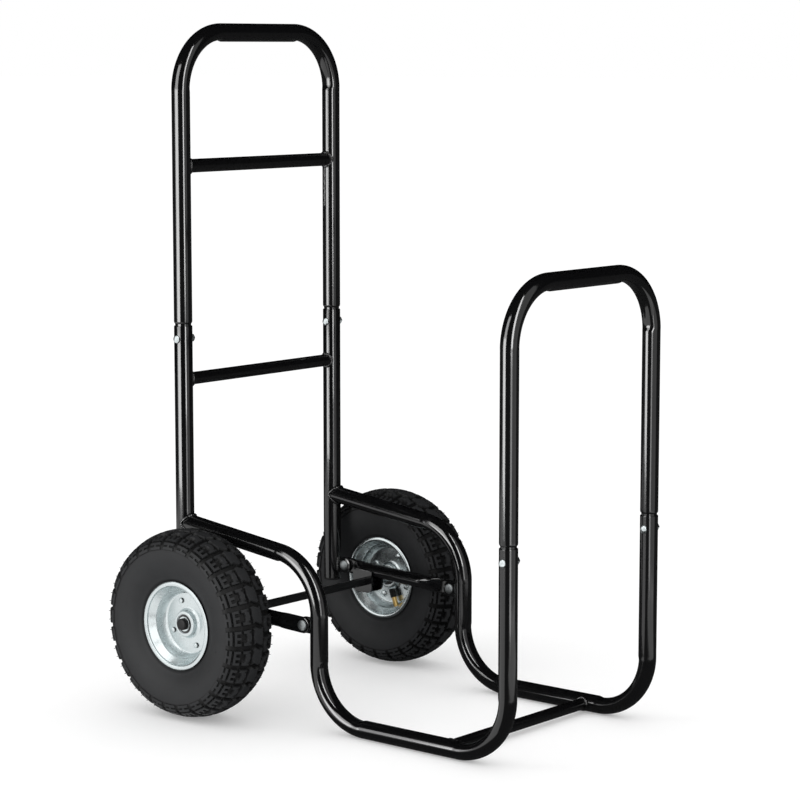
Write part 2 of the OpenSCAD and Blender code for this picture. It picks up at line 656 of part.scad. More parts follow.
// The brace bolts' heads face -Y on both sides of the cart
brace_face = [side_y - lug_t / 2, side_y + lug_t / 2 + brace_flat];
module brace_bolts() color(zinc) for (side = [-1, 1], q = [brace_rear, brace_front])
    translate([q[0], side > 0 ? brace_face[0] : -brace_face[1], q[1]])
        domed_bolt(brace_head_d, brace_head_h, brace_bolt_d, lug_t + brace_flat + brace_nut_h + 1.5);

module brace_nuts() color(zinc) for (side = [-1, 1], q = [brace_rear, brace_front])
    translate([q[0], side > 0 ? brace_face[1] : -brace_face[0], q[1]])
        hex_nut(brace_nut_w, brace_nut_h, brace_bolt_d + 0.06);

// ---------- the assembly ----------

handle_hoop();
handle_crossbar();
rear_upright(1);  // rear_upright_left
rear_upright(-1);  // rear_upright_right
rear_crossbar();
side_tube(1);  // side_tube_left
side_tube(-1);  // side_tube_right
front_hoop();
floor_crossbar();
brace(1);  // brace_left
brace(-1);  // brace_right
drop_lugs();
upright_lugs();
axle_bracket(1);  // axle_bracket_left
axle_bracket(-1);  // axle_bracket_right
axle();
handle_bolts();
handle_nuts();
front_bolts();
front_nuts();
brace_bolts();
brace_nuts();
upright_plugs();
axle_spacer(1);  // axle_spacer_left
axle_spacer(-1);  // axle_spacer_right
axle_washers();
axle_cap(1);  // axle_cap_left
axle_cap(-1);  // axle_cap_right
bearing_inner_races(1);  // bearing_inner_races_left
bearing_inner_races(-1);  // bearing_inner_races_right
bearing_outer_races(1);  // bearing_outer_races_left
bearing_outer_races(-1);  // bearing_outer_races_right
bearing_balls(1);  // bearing_balls_left
bearing_balls(-1);  // bearing_balls_right
bearing_seals(1);  // bearing_seals_left
bearing_seals(-1);  // bearing_seals_right
rim_outer(1);  // rim_outer_left
rim_outer(-1);  // rim_outer_right
rim_inner(1);  // rim_inner_left
rim_inner(-1);  // rim_inner_right
rim_rivets(1);  // rim_rivets_left
rim_rivets(-1);  // rim_rivets_right
tyre(1);  // tyre_left
tyre(-1);  // tyre_right
inner_tube(1);  // inner_tube_left
inner_tube(-1);  // inner_tube_right
valve(1);  // valve_left
valve(-1);  // valve_right
valve_cap(1);  // valve_cap_left
valve_cap(-1);  // valve_cap_right
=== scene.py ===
# %% [markdown]
# # A fireside log cart, dressed in Blender
# The cart is a bent tube frame in gloss black powder coat on two air-filled wheels with
# bright zinc rims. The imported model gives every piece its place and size, in metres, and
# this lesson lays smooth surfaces and real finishes over it. Everything is worked out in
# millimetres, as a workshop drawing would be, and turned to metres when a mesh is made.

# %% Load the fixed frame
import json
import bpy
import bmesh
import numpy as np
from mathutils import Matrix, Vector


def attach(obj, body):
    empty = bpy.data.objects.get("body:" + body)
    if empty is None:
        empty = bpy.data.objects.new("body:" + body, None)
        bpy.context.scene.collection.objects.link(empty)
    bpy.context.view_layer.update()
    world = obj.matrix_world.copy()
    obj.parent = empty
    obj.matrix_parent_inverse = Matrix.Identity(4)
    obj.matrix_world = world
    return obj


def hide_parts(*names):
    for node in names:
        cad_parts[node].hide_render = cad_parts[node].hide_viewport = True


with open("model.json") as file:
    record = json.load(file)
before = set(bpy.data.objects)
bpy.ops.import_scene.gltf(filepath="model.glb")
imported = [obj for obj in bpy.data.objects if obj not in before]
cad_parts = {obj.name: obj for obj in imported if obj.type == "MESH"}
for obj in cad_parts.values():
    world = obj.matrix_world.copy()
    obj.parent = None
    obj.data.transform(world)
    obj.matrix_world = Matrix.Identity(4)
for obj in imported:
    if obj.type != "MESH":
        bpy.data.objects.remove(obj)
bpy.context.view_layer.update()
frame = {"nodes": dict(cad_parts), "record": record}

# %% [markdown]
# ## Measurements of the frame
# X runs from the handle toward the front, Y to the left and Z up from the floor. Each
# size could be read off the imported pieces, but a drawing's few shared sizes are easier
# to follow.

# %% Sizes in millimetres
MM = 0.001  # one millimetre in Blender's metres
UPRIGHT_X, FRONT_X, DROP_X, AXLE_X = -259.125, 310.875, -9.125, -193.125
SIDE_Y, BRACE_Y, WHEEL_Y = 155.0, 159.5, 215.0
AXLE_Z, AXLE_R, BORE = 130.0, 6.0, 6.05
UPRIGHT_R, SIDE_R, WALL, BEND = 12.75, 12.25, 1.5, 80.0
UPRIGHT_FOOT, REAR_JOINT, FRONT_JOINT = 128.0, 530.0, 287.0
HANDLE_TOP, FRONT_TOP = 945.0, 630.0
NECK_LEN, RING_GAP, BOLT_DROP = 45.0, 3.0, 18.0
SHELF_Z, SHELF_FALL = 255.0, np.radians(7.0)
CORNER_Z = SHELF_Z - (DROP_X - UPRIGHT_X) * np.tan(SHELF_FALL)
SIDES = ((1, "left"), (-1, "right"))
print("uprights", FRONT_X - UPRIGHT_X, "mm apart, side tubes", 2 * SIDE_Y, "mm apart")

# %% [markdown]
# ## The camera
# The view is a long lens from the front right of the cart, a little above the handle's
# bar. A camera could be placed by eye, but its place and focal length come from matching
# the tubes' centrelines and the rim's ellipse to the picture, which is 800 by 800.

# %% Place the camera
PICTURE_PX, SENSOR_MM = 800.0, 36.0


def added(name, data):
    """Adds an object that shows a mesh, a lamp or a camera to the scene."""
    obj = bpy.data.objects.new(name, data)
    bpy.context.scene.collection.objects.link(obj)
    return obj


def look_from(place, azimuth, elevation, focal_px):
    """A camera at place (mm) that looks back along two angles, in degrees. Its lens in mm
    is the sensor's width times focal_px over the picture's width."""
    swing, tilt = np.radians(azimuth), np.radians(elevation)
    back = Vector((np.sin(swing) * np.cos(tilt), -np.cos(swing) * np.cos(tilt), np.sin(tilt)))
    right = (-back).cross(Vector((0, 0, 1))).normalized()
    up = right.cross(-back)
    data = bpy.data.cameras.new("view")
    data.sensor_width = SENSOR_MM
    data.lens = SENSOR_MM * focal_px / PICTURE_PX
    data.clip_end = 100.0
    cam = added("view", data)
    facing = Matrix((right, up, back)).transposed().to_4x4()
    cam.matrix_world = Matrix.Translation(Vector(place) * MM) @ facing
    bpy.context.scene.camera = cam
    return cam


camera = look_from((2295.45, -2733.3, 911.7), 39.992, 7.646, 2626.3)
print("camera lens", round(camera.data.lens, 1), "mm")

# %% [markdown]
# ## Colours and nodes
# A colour is given as an sRGB hex code, as on a colour card, and Blender mixes linear
# light, so one function turns every code. A material's nodes could be drawn by hand in
# the editor, and one function that adds a node does the same here.

# %% One function for colours and one for nodes
def srgb(code):
    """An sRGB hex colour as linear light: below 0.04045 divide by 12.92, above it the
    2.4 power law."""
    coded = np.array([int(code[i:i + 2], 16) for i in (0, 2, 4)]) / 255.0
    linear = np.where(coded <= 0.04045, coded / 12.92, ((coded + 0.055) / 1.055) ** 2.4)
    return (*linear.tolist(), 1.0)


def node(tree, kind, links=(), **settings):
    """Adds one node. settings name its sockets or its properties, and links are pairs of
    an output and the input that it feeds."""
    new = tree.nodes.new(kind)
    for key, value in settings.items():
        socket = next((s for s in new.inputs if s.name == key.replace("_", " ")), None)
        if socket is not None and not hasattr(new, key):
            socket.default_value = value
        else:
            setattr(new, key, value)
    for source, name in links:
        tree.links.new(source, new.inputs[name])
    return new


def empty_tree(owner):
    """Turns on the nodes of a world or a material, and takes away the ones it starts with."""
    owner.use_nodes = True
    owner.node_tree.nodes.clear()
    return owner.node_tree


print("mid grey is", round(srgb("808080")[0], 3), "of white")

# %% [markdown]
# ## Sky and floor
# The sky could be a picture of a studio, but even white light is enough for what is
# matt. Gloss paint mirrors the lamps alone, so the sky hides from reflections and the
# floor is nearly dark in them. To the eye the floor is pale, glows a little and takes
# the soft contact shadow.

# %% Even sky and pale floor
FLOOR_HALF = 60.0  # metres, past all that the camera sees

world = bpy.data.worlds.new("studio")
bpy.context.scene.world = world
bpy.context.scene.view_settings.view_transform = "Standard"
sky = empty_tree(world)
white = node(sky, "ShaderNodeBackground", Color=srgb("FFFFFF"), Strength=1.0)
node(sky, "ShaderNodeOutputWorld", [(white.outputs[0], "Surface")])
world.cycles_visibility.glossy = False

paper = bpy.data.materials.new("matt white studio floor")
tree = empty_tree(paper)
matt = node(tree, "ShaderNodeBsdfDiffuse", Color=srgb("E6E6E6"))
glow = node(tree, "ShaderNodeEmission", Color=srgb("FFFFFF"), Strength=0.26)
mirrored = node(tree, "ShaderNodeEmission", Color=srgb("FFFFFF"), Strength=0.05)
plain = node(tree, "ShaderNodeAddShader", [(matt.outputs[0], 0), (glow.outputs[0], 1)])
ray = node(tree, "ShaderNodeLightPath")
shown = node(tree, "ShaderNodeMixShader", [(ray.outputs["Is Glossy Ray"], 0),
                                           (plain.outputs[0], 1), (mirrored.outputs[0], 2)])
node(tree, "ShaderNodeOutputMaterial", [(shown.outputs[0], "Surface")])

floor_mesh = bpy.data.meshes.new("floor")
corners = [(x * FLOOR_HALF, y * FLOOR_HALF, 0) for x, y in ((-1, -1), (1, -1), (1, 1), (-1, 1))]
floor_mesh.from_pydata(corners, [], [(0, 1, 2, 3)])
floor_mesh.materials.append(paper)
floor = added("floor", floor_mesh)
print("floor", 2 * FLOOR_HALF, "m wide")

# %% [markdown]
# ## Soft boxes
# A gloss black tube shows its roundness only by the strips of light that lamps draw along
# it, and bright zinc shows the whole room. One set of lamps would suit only one of them,
# so each has its own: light linking lets a lamp reach only the pieces of a collection.
# Cards of light on the floor stand for white paper, and the key only shapes what is matt.

# %% A soft box and the two groups it can serve
DARK = bpy.data.collections.new("dark pieces")
BRIGHT = bpy.data.collections.new("bright metal pieces")
BRIGHT_SLOTS = ("zinc_plate", "bearing_steel", "brass")


def group_of(slot):
    """The light group of a material slot: bright metal, or everything darker."""
    return BRIGHT if slot in BRIGHT_SLOTS else DARK


def soft_box(name, place, aim, width, height, radiance, group=None):
    """A rectangular lamp at place that faces aim, in metres, of the power radiance times
    pi times area. With a group it shows only in that group's reflections, and with none
    it only lights what is matt."""
    data = bpy.data.lights.new(name, "AREA")
    data.shape = "RECTANGLE"
    data.size, data.size_y = width, height
    data.energy = radiance * np.pi * width * height
    lamp = added(name, data)
    lamp.location = place
    lamp.rotation_euler = (Vector(aim) - Vector(place)).to_track_quat("-Z", "Y").to_euler()
    lamp.visible_camera = False
    lamp.visible_diffuse, lamp.visible_glossy = group is None, group is not None
    if group:
        lamp.light_linking.receiver_collection = group


def floor_card(name, x, y, width, depth, radiance, group):
    """A soft box that lies 4 mm above the floor and faces straight up."""
    soft_box(name, (x, y, 0.004), (x, y, 1), width, depth, radiance, group)


soft_box("key", (-1.3, -1.6, 1.6), (-0.2, -0.2, 0.2), 0.9, 0.9, 1.6)
print("key light placed")

# %% The long boxes and strips that the black tubes mirror
soft_box("left_box_low", (-0.6, -1.9, 0.45), (-0.6, 0, 0.45), 1.15, 0.9, 11, DARK)
soft_box("left_box_high", (-0.6, -1.9, 1.6), (-0.6, 0, 1.6), 1.15, 1.4, 5.5, DARK)
soft_box("left_wing", (-1.37, -1.9, 0.5), (-1.37, 0, 0.5), 0.4, 1.0, 4, DARK)
soft_box("right_strip_high", (1.0, -0.54, 1.675), (-0.2, -0.1, 1.675), 0.26, 2.45, 13, DARK)
soft_box("right_strip_low", (1.0, -0.54, 0.225), (-0.2, -0.1, 0.225), 0.26, 0.45, 4, DARK)
soft_box("right_box", (1.12, -0.02, 1.2), (-0.2, -0.02, 1.2), 0.9, 2.4, 0.7, DARK)
floor_card("floor_card_left", -0.7, -1.05, 2.0, 1.65, 1.0, DARK)
floor_card("floor_card_right", 0.95, -0.1, 0.6, 0.9, 1.0, DARK)
print("lamps for the dark pieces placed")

# %% The wide pale room that the zinc mirrors
soft_box("bright_left", (-1.6, -2.2, 1.1), (-0.2, 0, 0.3), 2.4, 2.2, 1.5, BRIGHT)
soft_box("bright_front", (0.6, -2.6, 1.0), (-0.2, 0, 0.3), 2.2, 2.0, 1.5, BRIGHT)
soft_box("bright_right", (2.1, -1.5, 1.2), (-0.2, -0.3, 0.3), 1.5, 2.2, 1.8, BRIGHT)
floor_card("bright_floor", -1.3, -1.5, 2.6, 2.6, 1.15, BRIGHT)
floor_card("bright_floor_right", 0.95, -1.1, 1.9, 1.4, 1.55, BRIGHT)
floor_card("bright_floor_far", -1.0, 1.5, 3.0, 2.6, 0.5, BRIGHT)
soft_box("bright_top", (0.4, -0.9, 2.8), (-0.1, -0.3, 0), 4.4, 2.8, 1.9, BRIGHT)
soft_box("bright_back", (-0.6, 2.6, 1.3), (0, 0, 0.6), 3.0, 2.4, 0.5, BRIGHT)
print("lamps for the bright metal placed")

# %% [markdown]
# ## How a finish is made
# Every finish starts from one shader with the surface's colour, metal and gloss. It could
# wear a picture of the real surface, but noise in the object's coordinates has no seams.
# Three things are added where a surface has them: a fine relief, a drift of colour, and
# a painted shade where the piece's own attribute marks it.

# %% Helpers for finishes
FIRST, SECOND, MIXED = 6, 7, 2  # the colour sockets of a Mix node, in and out


def finish(name, color, metallic=0.0, roughness=0.5, ior=None, specular=None):
    """A material with one shader. Returns it, its tree, its shader and the Object
    coordinates, which are metres in the shared frame."""
    material = bpy.data.materials.new(name)
    tree = empty_tree(material)
    shader = node(tree, "ShaderNodeBsdfPrincipled", Base_Color=srgb(color),
                  Metallic=metallic, Roughness=roughness)
    if ior:
        shader.inputs["IOR"].default_value = ior
    if specular:
        shader.inputs["Specular IOR Level"].default_value = specular
    node(tree, "ShaderNodeOutputMaterial", [(shader.outputs[0], "Surface")])
    coords = node(tree, "ShaderNodeTexCoord")
    return material, tree, shader, coords.outputs["Object"]


def fine_relief(tree, shader, where, cells, detail, strength, depth):
    """Bumps a surface with noise of so many cells to the metre. depth is the height of
    its full relief in mm, and strength the share of it that shows."""
    noise = node(tree, "ShaderNodeTexNoise", [(where, "Vector")], Scale=cells, Detail=detail)
    bump = node(tree, "ShaderNodeBump", [(noise.outputs["Fac"], "Height")],
                Strength=strength, Distance=depth * MM)
    tree.links.new(bump.outputs[0], shader.inputs["Normal"])


def drift(tree, where, cells, detail, first, second):
    """A colour that goes from first to second with noise of so many cells to the metre.
    Returns the noise and the colour."""
    noise = node(tree, "ShaderNodeTexNoise", [(where, "Vector")], Scale=cells, Detail=detail)
    mix = node(tree, "ShaderNodeMix", [(noise.outputs["Fac"], "Factor")], data_type="RGBA")
    mix.inputs[FIRST].default_value = srgb(first)
    mix.inputs[SECOND].default_value = srgb(second)
    return noise.outputs["Fac"], mix.outputs[MIXED]


def with_painted_shade(tree, shader, colour, attribute, dark):
    """Paints shade: mixes a colour toward dark by the piece's own attribute, from 0 to 1, for
    the shader. A piece without the attribute keeps its colour."""
    mark = node(tree, "ShaderNodeAttribute", attribute_name=attribute)
    mix = node(tree, "ShaderNodeMix", [(mark.outputs["Fac"], "Factor")], data_type="RGBA")
    tree.links.new(colour, mix.inputs[FIRST])
    mix.inputs[SECOND].default_value = srgb(dark)
    tree.links.new(mix.outputs[MIXED], shader.inputs["Base Color"])


print("finishes start from one shader")

# %% [markdown]
# ## Powder coat
# Polyester powder is sprayed on dry and baked until it flows. A plain black gloss would
# look like glass, but this has a very fine orange peel that breaks a long reflection a
# little, and wide patches that are a touch duller.

# %% Gloss black powder coat
# Orange peel cells of about 1.5 mm, and dull patches of about 55 mm
powder, tree, shader, where = finish("gloss black powder coat", "0C0C0D", roughness=0.1,
                                     ior=1.6)
fine_relief(tree, shader, where, 650.0, 2.0, 0.02, 0.15)
wear = node(tree, "ShaderNodeTexNoise", [(where, "Vector")], Scale=18.0, Detail=4.0)
gloss = node(tree, "ShaderNodeMapRange", [(wear.outputs["Fac"], "Value")],
             To_Min=0.08, To_Max=0.15)
tree.links.new(gloss.outputs[0], shader.inputs["Roughness"])
print("made", powder.name)

# %% [markdown]
# ## Zinc, steel and brass
# Bright zinc plate is a thin metal skin with a cool, slightly cloudy shine, and the large
# bolts are duller. The axle is blackened drawn bar, and the bearings' races are ground. A
# metal's colour is its reflection's colour, so these need no second gloss on top.

# %% Plated, drawn, ground and turned metal
def plated(name, light, shade, low, high):
    """Clouds of about 15 mm turn the colour from shade to light and the roughness from low
    to high, over a satin grain of about 1 mm. A painted shade darkens the foot of a pressed
    head where the piece's own attribute marks it."""
    material, tree, shader, where = finish(name, light, metallic=1.0, roughness=low)
    cloud, tint = drift(tree, where, 70.0, 2.0, shade, light)
    # Painted shade at the foot of each rivet head, where its contact shade falls
    with_painted_shade(tree, shader, tint, "painted_foot_shade", "1B1D1E")
    gloss = node(tree, "ShaderNodeMapRange", [(cloud, "Value")], To_Min=low, To_Max=high)
    tree.links.new(gloss.outputs[0], shader.inputs["Roughness"])
    fine_relief(tree, shader, where, 900.0, 2.0, 0.03, 0.03)
    return material


zinc = plated("bright zinc plate", "D0D7D8", "C3CACB", 0.24, 0.3)
dull_zinc = plated("dull zinc plate", "9A9E9F", "85898A", 0.42, 0.5)

# Drawing lines 0.3 mm apart run along the bar, so the noise is stretched along Y
steel, tree, shader, where = finish("blackened steel bar", "1C1D1E", metallic=0.4,
                                    roughness=0.3)
stretch = node(tree, "ShaderNodeMapping", [(where, "Vector")], Scale=(1.0, 0.02, 1.0))
fine_relief(tree, shader, stretch.outputs[0], 3000.0, 1.0, 0.2, 0.05)

# A ground ring shows as an even, slightly misty mirror
ground, tree, shader, where = finish("ground bearing steel", "B4B6B8", metallic=1.0,
                                     roughness=0.22)
fine_relief(tree, shader, where, 1500.0, 1.0, 0.1, 0.02)

# Turned brass of the valve stems: warm, with faint tool marks of about 0.8 mm
brass, tree, shader, where = finish("turned brass", "C8A86A", metallic=1.0, roughness=0.3)
fine_relief(tree, shader, where, 1200.0, 1.0, 0.15, 0.05)
print("made", zinc.name, "and four more metals")

# %% [markdown]
# ## Rubber and plastic
# Tyre rubber is nearly black and matt and a little dusty, with painted shade that is darkest
# deep in its grooves, where little light comes back. The seals and inner tubes are smoother
# butyl, and the caps and plugs come from a mould with a satin texture.

# %% Tyre rubber, butyl and moulded plastic
# Dust drifts over about 20 mm, and the moulded skin is a relief of about 0.7 mm
tyre_rubber, tree, shader, where = finish("moulded tyre rubber", "1F2022", roughness=0.66,
                                          ior=1.5, specular=0.22)
dusty = drift(tree, where, 45.0, 6.0, "1D1E20", "252628")[1]
# Painted shade: the rubber is coloured darker the deeper a point lies in a groove
with_painted_shade(tree, shader, dusty, "groove", "070708")
fine_relief(tree, shader, where, 1400.0, 3.0, 0.25, 0.12)

# Butyl has a soft chalky bloom of about 3 mm
butyl, tree, shader, where = finish("butyl rubber", "1A1A1B", roughness=0.55, ior=1.5)
fine_relief(tree, shader, where, 300.0, 3.0, 0.2, 0.08)

# Spark-eroded mould texture of 0.4 mm, which looks evenly satin
plastic, tree, shader, where = finish("moulded black polyethylene", "101011", roughness=0.6,
                                      ior=1.5, specular=0.25)
fine_relief(tree, shader, where, 2500.0, 2.0, 0.3, 0.05)
print("made", tyre_rubber.name, "and two more")

# %% [markdown]
# ## Finishes for the carried pieces
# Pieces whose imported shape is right, such as the brackets and the nuts, are kept and only
# get their finish. The record names a slot for each, so one table serves them all.

# %% Dress the carried nodes
SKINS = {"black_powder_coat": powder, "zinc_plate": zinc, "axle_steel": steel,
         "bearing_steel": ground, "tyre_rubber": tyre_rubber, "tube_rubber": butyl,
         "seal_rubber": butyl, "black_plastic": plastic, "brass": brass}
slots = {part["node"]: part["material_slot"] for part in frame["record"]["subparts"]}
for name, obj in frame["nodes"].items():
    obj.data.materials.clear()
    obj.data.materials.append(SKINS[slots[name]])
    group_of(slots[name]).objects.link(obj)
print("finished", len(frame["nodes"]), "carried nodes")

# %% [markdown]
# ## Meshes from arrays
# A new piece is a grid of points: a section carried along a path, or a profile turned
# about an axis. Blender's curves and modifiers could build it, but a grid puts each point
# where a formula says. It is one numpy array, whose indices give the faces.

# %% One object from grids of points
MERGE, NO_AREA = 0.002, 0.0001  # mm: points nearer than this are one


def piece(part, detail, grids, body, slot, node_name=None, sharp=35.0, skin=None):
    """Makes the object part_detail, which stands for the node of the part's name or of
    node_name. Each grid is (points, wrap_u, wrap_v): points has shape (u, v, 3), in mm,
    and a wrapped direction is closed. A face joins each point to the next ones along u
    and v. Edges past sharp degrees stay sharp."""
    name, node_name = part + "_" + detail, part if node_name is None else node_name
    verts, faces, base = [], [], 0
    for points, wrap_u, wrap_v in grids:
        rows, columns = points.shape[:2]
        u, v = np.meshgrid(np.arange(rows if wrap_u else rows - 1),
                           np.arange(columns if wrap_v else columns - 1), indexing="ij")
        next_u, next_v = (u + 1) % rows, (v + 1) % columns
        quads = np.stack([u * columns + v, next_u * columns + v,
                          next_u * columns + next_v, u * columns + next_v], -1)
        faces.append(base + quads.reshape(-1, 4))
        verts.append(points.reshape(-1, 3))
        base += rows * columns
    mesh = bpy.data.meshes.new(name)
    mesh.from_pydata((np.concatenate(verts) * MM).tolist(), [], np.concatenate(faces).tolist())
    loose = bmesh.new()
    loose.from_mesh(mesh)
    bmesh.ops.remove_doubles(loose, verts=loose.verts, dist=MERGE * MM)
    bmesh.ops.dissolve_degenerate(loose, edges=loose.edges, dist=NO_AREA * MM)
    bmesh.ops.recalc_face_normals(loose, faces=loose.faces)
    loose.to_mesh(mesh)
    loose.free()
    mesh.polygons.foreach_set("use_smooth", np.ones(len(mesh.polygons), bool))
    mesh.set_sharp_from_angle(angle=np.radians(sharp))
    mesh.materials.append(skin or SKINS[slot])
    obj = added(name, mesh)
    if node_name:
        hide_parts(node_name)
    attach(obj, body)
    group_of(slot).objects.link(obj)
    return obj


def painted(part, detail, grids, node_name=None, sharp=35.0):
    """One black powder coated piece of the frame."""
    piece(part, detail, grids, "frame", "black_powder_coat", node_name, sharp)


def smooth_step(t):
    """A soft ramp from 0 to 1: three t squared less two t cubed."""
    return t * t * (3 - 2 * t)


print("points nearer than", MERGE, "mm become one")

# %% Turn a profile, close a sweep and lay a piece in its place
def turned(profile, around):
    """A profile of (radius, height) pairs turned about Z: the point at the angle a is
    radius cos a, radius sin a, height."""
    pairs = np.asarray(profile, float)
    angle = np.linspace(0, 2 * np.pi, around, endpoint=False)
    return np.stack([pairs[None, :, 0] * np.cos(angle)[:, None],
                     pairs[None, :, 0] * np.sin(angle)[:, None],
                     np.broadcast_to(pairs[None, :, 1], (around, len(pairs)))], -1)


def capped(points):
    """Closes both ends of a swept grid with a ring drawn in to its centre."""
    ends = [points[at].mean(0).reshape(1, 1, 3).repeat(points.shape[1], 1) for at in (0, -1)]
    return np.concatenate([ends[0], points, ends[1]])


def laid(points, x_axis, y_axis, z_axis, place):
    """Moves local points to a place, with the local axes given as X, Y, Z directions."""
    return points @ np.array([x_axis, y_axis, z_axis], float) + np.asarray(place, float)


def on_wheel(points, side):
    """Local wheel points, with Z outward from the cart, to the wheel on one side."""
    return laid(points, (1, 0, 0), (0, 0, -side), (0, side, 0), (AXLE_X, side * WHEEL_Y, AXLE_Z))


def facing_right(points, place):
    """A turned grid with local Z toward -Y, the way that every bolt head points."""
    return laid(points, (1, 0, 0), (0, 0, 1), (0, -1, 0), place), True, False


print("a turned ring has", turned([(1, 0)], 8).shape[0], "points")

# %% [markdown]
# ## Bent tubes
# A tube bender pulls the tube round a former, which leaves the bend's inner side a little
# flat, with a small step where it starts. A bevelled curve would stay round, so the
# section is carried along the centreline here and pressed inside the bends.

# %% The centreline of a bent tube
RING_STEP = 7  # mm between rings on a straight, and closer near both of its ends
RUN_MARKS = (1, 2, 3, 4.5, 6)
BEND_MARKS = (0.8, 1.6, 2.6, 4, 6, 9)


def bent_line(corners, ends_at=()):
    """Straight runs joined by arcs of the radius BEND, which take that radius times the
    tangent of half their angle off each run. Returns the points, the heading at each, how
    far it lies inside a bend (to 1 in a left one, -1 in a right one) and how far along."""
    corners = np.asarray(corners, float)
    legs = np.diff(corners, axis=0)
    lengths = np.hypot(*legs.T)
    heading = np.arctan2(legs[:, 1], legs[:, 0])
    turns = (np.diff(heading) + np.pi) % (2 * np.pi) - np.pi
    cuts = np.concatenate([[0], BEND * np.tan(np.abs(turns) / 2), [0]])
    points, heads, places, bends, done = [], [], [], [], 0.0  # done: mm of line so far
    for leg, ahead in enumerate(legs / lengths[:, None]):
        run = lengths[leg] - cuts[leg] - cuts[leg + 1]
        first = RUN_MARKS + (tuple(ends_at) if leg == 0 else ())
        last = RUN_MARKS + (tuple(ends_at) if leg == len(legs) - 1 else ())
        marks = np.unique(np.concatenate([np.linspace(0, run, max(int(run / RING_STEP), 2) + 1),
                                          [mark for mark in first if mark < run],
                                          [run - mark for mark in last if mark < run]]))
        points.append(corners[leg] + (cuts[leg] + marks)[:, None] * ahead)
        heads.append(np.full(len(marks), heading[leg]))
        places.append(done + marks)
        done += run
        if leg < len(turns):
            arc, side = BEND * abs(turns[leg]), np.sign(turns[leg])
            marks = np.concatenate([BEND_MARKS, np.arange(12, arc - 12, 4),
                                    arc - np.array(BEND_MARKS[::-1])])
            square = np.array([-np.sin(heading[leg]), np.cos(heading[leg])])
            centre = points[-1][-1] + BEND * side * square
            angles = heading[leg] + side * marks / BEND
            points.append(centre - BEND * side * np.stack([-np.sin(angles), np.cos(angles)], -1))
            heads.append(angles)
            places.append(done + marks)
            bends.append((done, done + arc, side))
            done += arc
    places = np.concatenate(places)
    inside = np.zeros_like(places)
    for start, end, side in bends:
        ramp = np.clip((places - start + 1.5) / 7, 0, 1) * np.clip((end + 1.5 - places) / 7, 0, 1)
        inside += side * smooth_step(ramp)
    return np.concatenate(points), np.concatenate(heads), inside, places


elbow = bent_line([(0, 0), (200, 0), (200, 200)])
print("an elbow of two 200 mm legs is", round(float(elbow[3][-1]), 1), "mm long")

# %% Carry a round section along it
AROUND = 56
SQUASH, WIDEN = 0.17, 0.02  # shares of the radius: pressed in and bulged out in a bend


def swept_tube(corners, radius, to_space, widths=None, ends_at=()):
    """A round section along a bent line: each point is the line's, plus radius cos a along
    its normal and radius sin a square to the plane. widths gives a radius at distances
    from both ends, and to_space turns the plane's axes and the depth into X, Y, Z."""
    line, heads, inside, places = bent_line(corners, ends_at)
    width = np.full(len(places), float(radius))
    if widths is not None:
        width = np.minimum(np.interp(places, *widths, right=radius),
                           np.interp(places[-1] - places, *widths, right=radius))
    angle = np.linspace(0, 2 * np.pi, AROUND, endpoint=False)
    across, deep = np.cos(angle)[None, :], np.sin(angle)[None, :]
    toward = np.clip(across * np.sign(inside)[:, None], 0, 1)
    bent = np.abs(inside)[:, None]
    side = width[:, None] * across * (1 - SQUASH * bent * toward ** 1.3)
    depth = width[:, None] * deep * (1 + WIDEN * bent)
    normal = np.stack([-np.sin(heads), np.cos(heads)], -1)
    flat = line[:, None, :] + side[..., None] * normal[:, None, :]
    return to_space(flat[..., 0], flat[..., 1], depth)


def side_plane(y):
    """A plane at one side of the cart: its first axis is X and its second is Z."""
    return lambda first, second, depth: np.stack([first, y - depth, second], -1)


def hoop_plane(x):
    """A plane across the cart: its first axis is Y and its second is Z."""
    return lambda first, second, depth: np.stack([x + depth, first, second], -1)


print("a tube has", AROUND, "points round it")

# %% [markdown]
# ## The two hoops
# A hoop is one tube bent twice. Both ends are swaged: drawn down to a neck that slides
# into the tube below, with a soft shoulder and a narrow open ring. The neck could be a
# second piece, but one tube whose radius changes has no seam.

# %% Handle hoop and front hoop
NECK_GAP = 0.1  # mm of play between the neck and the bore it stands in


def hoop(name, x, radius, joint, top):
    """One tube up, across and down. Its radius grows from the neck to the full tube over a
    rounded shoulder that starts RING_GAP above the joint."""
    neck = radius - WALL - NECK_GAP
    shoulder = NECK_LEN + RING_GAP + np.array([0, 0.25, 0.6, 1.0, 1.6, 2.3, 3.2])
    short = np.array([0, 1.35, 1.1, 0.75, 0.38, 0.12, 0])
    marks = np.concatenate([[0, 1.5], shoulder])
    radii = np.concatenate([[neck - 0.5, neck, neck], radius - short[1:]])
    foot, head = joint - NECK_LEN, top - radius
    corners = [(-SIDE_Y, foot), (-SIDE_Y, head), (SIDE_Y, head), (SIDE_Y, foot)]
    grid = swept_tube(corners, radius, hoop_plane(x), (marks, radii), marks[1:])
    painted(name, "tube", [(capped(grid), False, True)])


hoop("handle_hoop", UPRIGHT_X, UPRIGHT_R, REAR_JOINT, HANDLE_TOP)
hoop("front_hoop", FRONT_X, SIDE_R, FRONT_JOINT, FRONT_TOP)
print("two hoops with swaged ends")

# %% [markdown]
# ## Side tubes and rear uprights
# Each side tube is one length with three bends: shelf, drop, floor runner and front
# upright. It ends in a plain sawn mouth, like the rear upright, and the hoop's neck stands
# in it. A whole bore would never be seen, so each mouth closes below the neck.

# %% Side tubes and uprights
SIDE_BORE_DEPTH, UPRIGHT_BORE_DEPTH = 52.0, 60.0
INTO_UPRIGHT = 4.0  # mm by which the shelf tube starts inside the rear upright's line


def mouth_edge(radius, bore):
    """The broken edge of a sawn mouth, as (radius, height over the mouth) pairs."""
    return [(radius, -0.6), (radius - 0.17, -0.18), (radius - 0.6, 0.0), (bore + 0.2, 0.0),
            (bore, -0.2)]


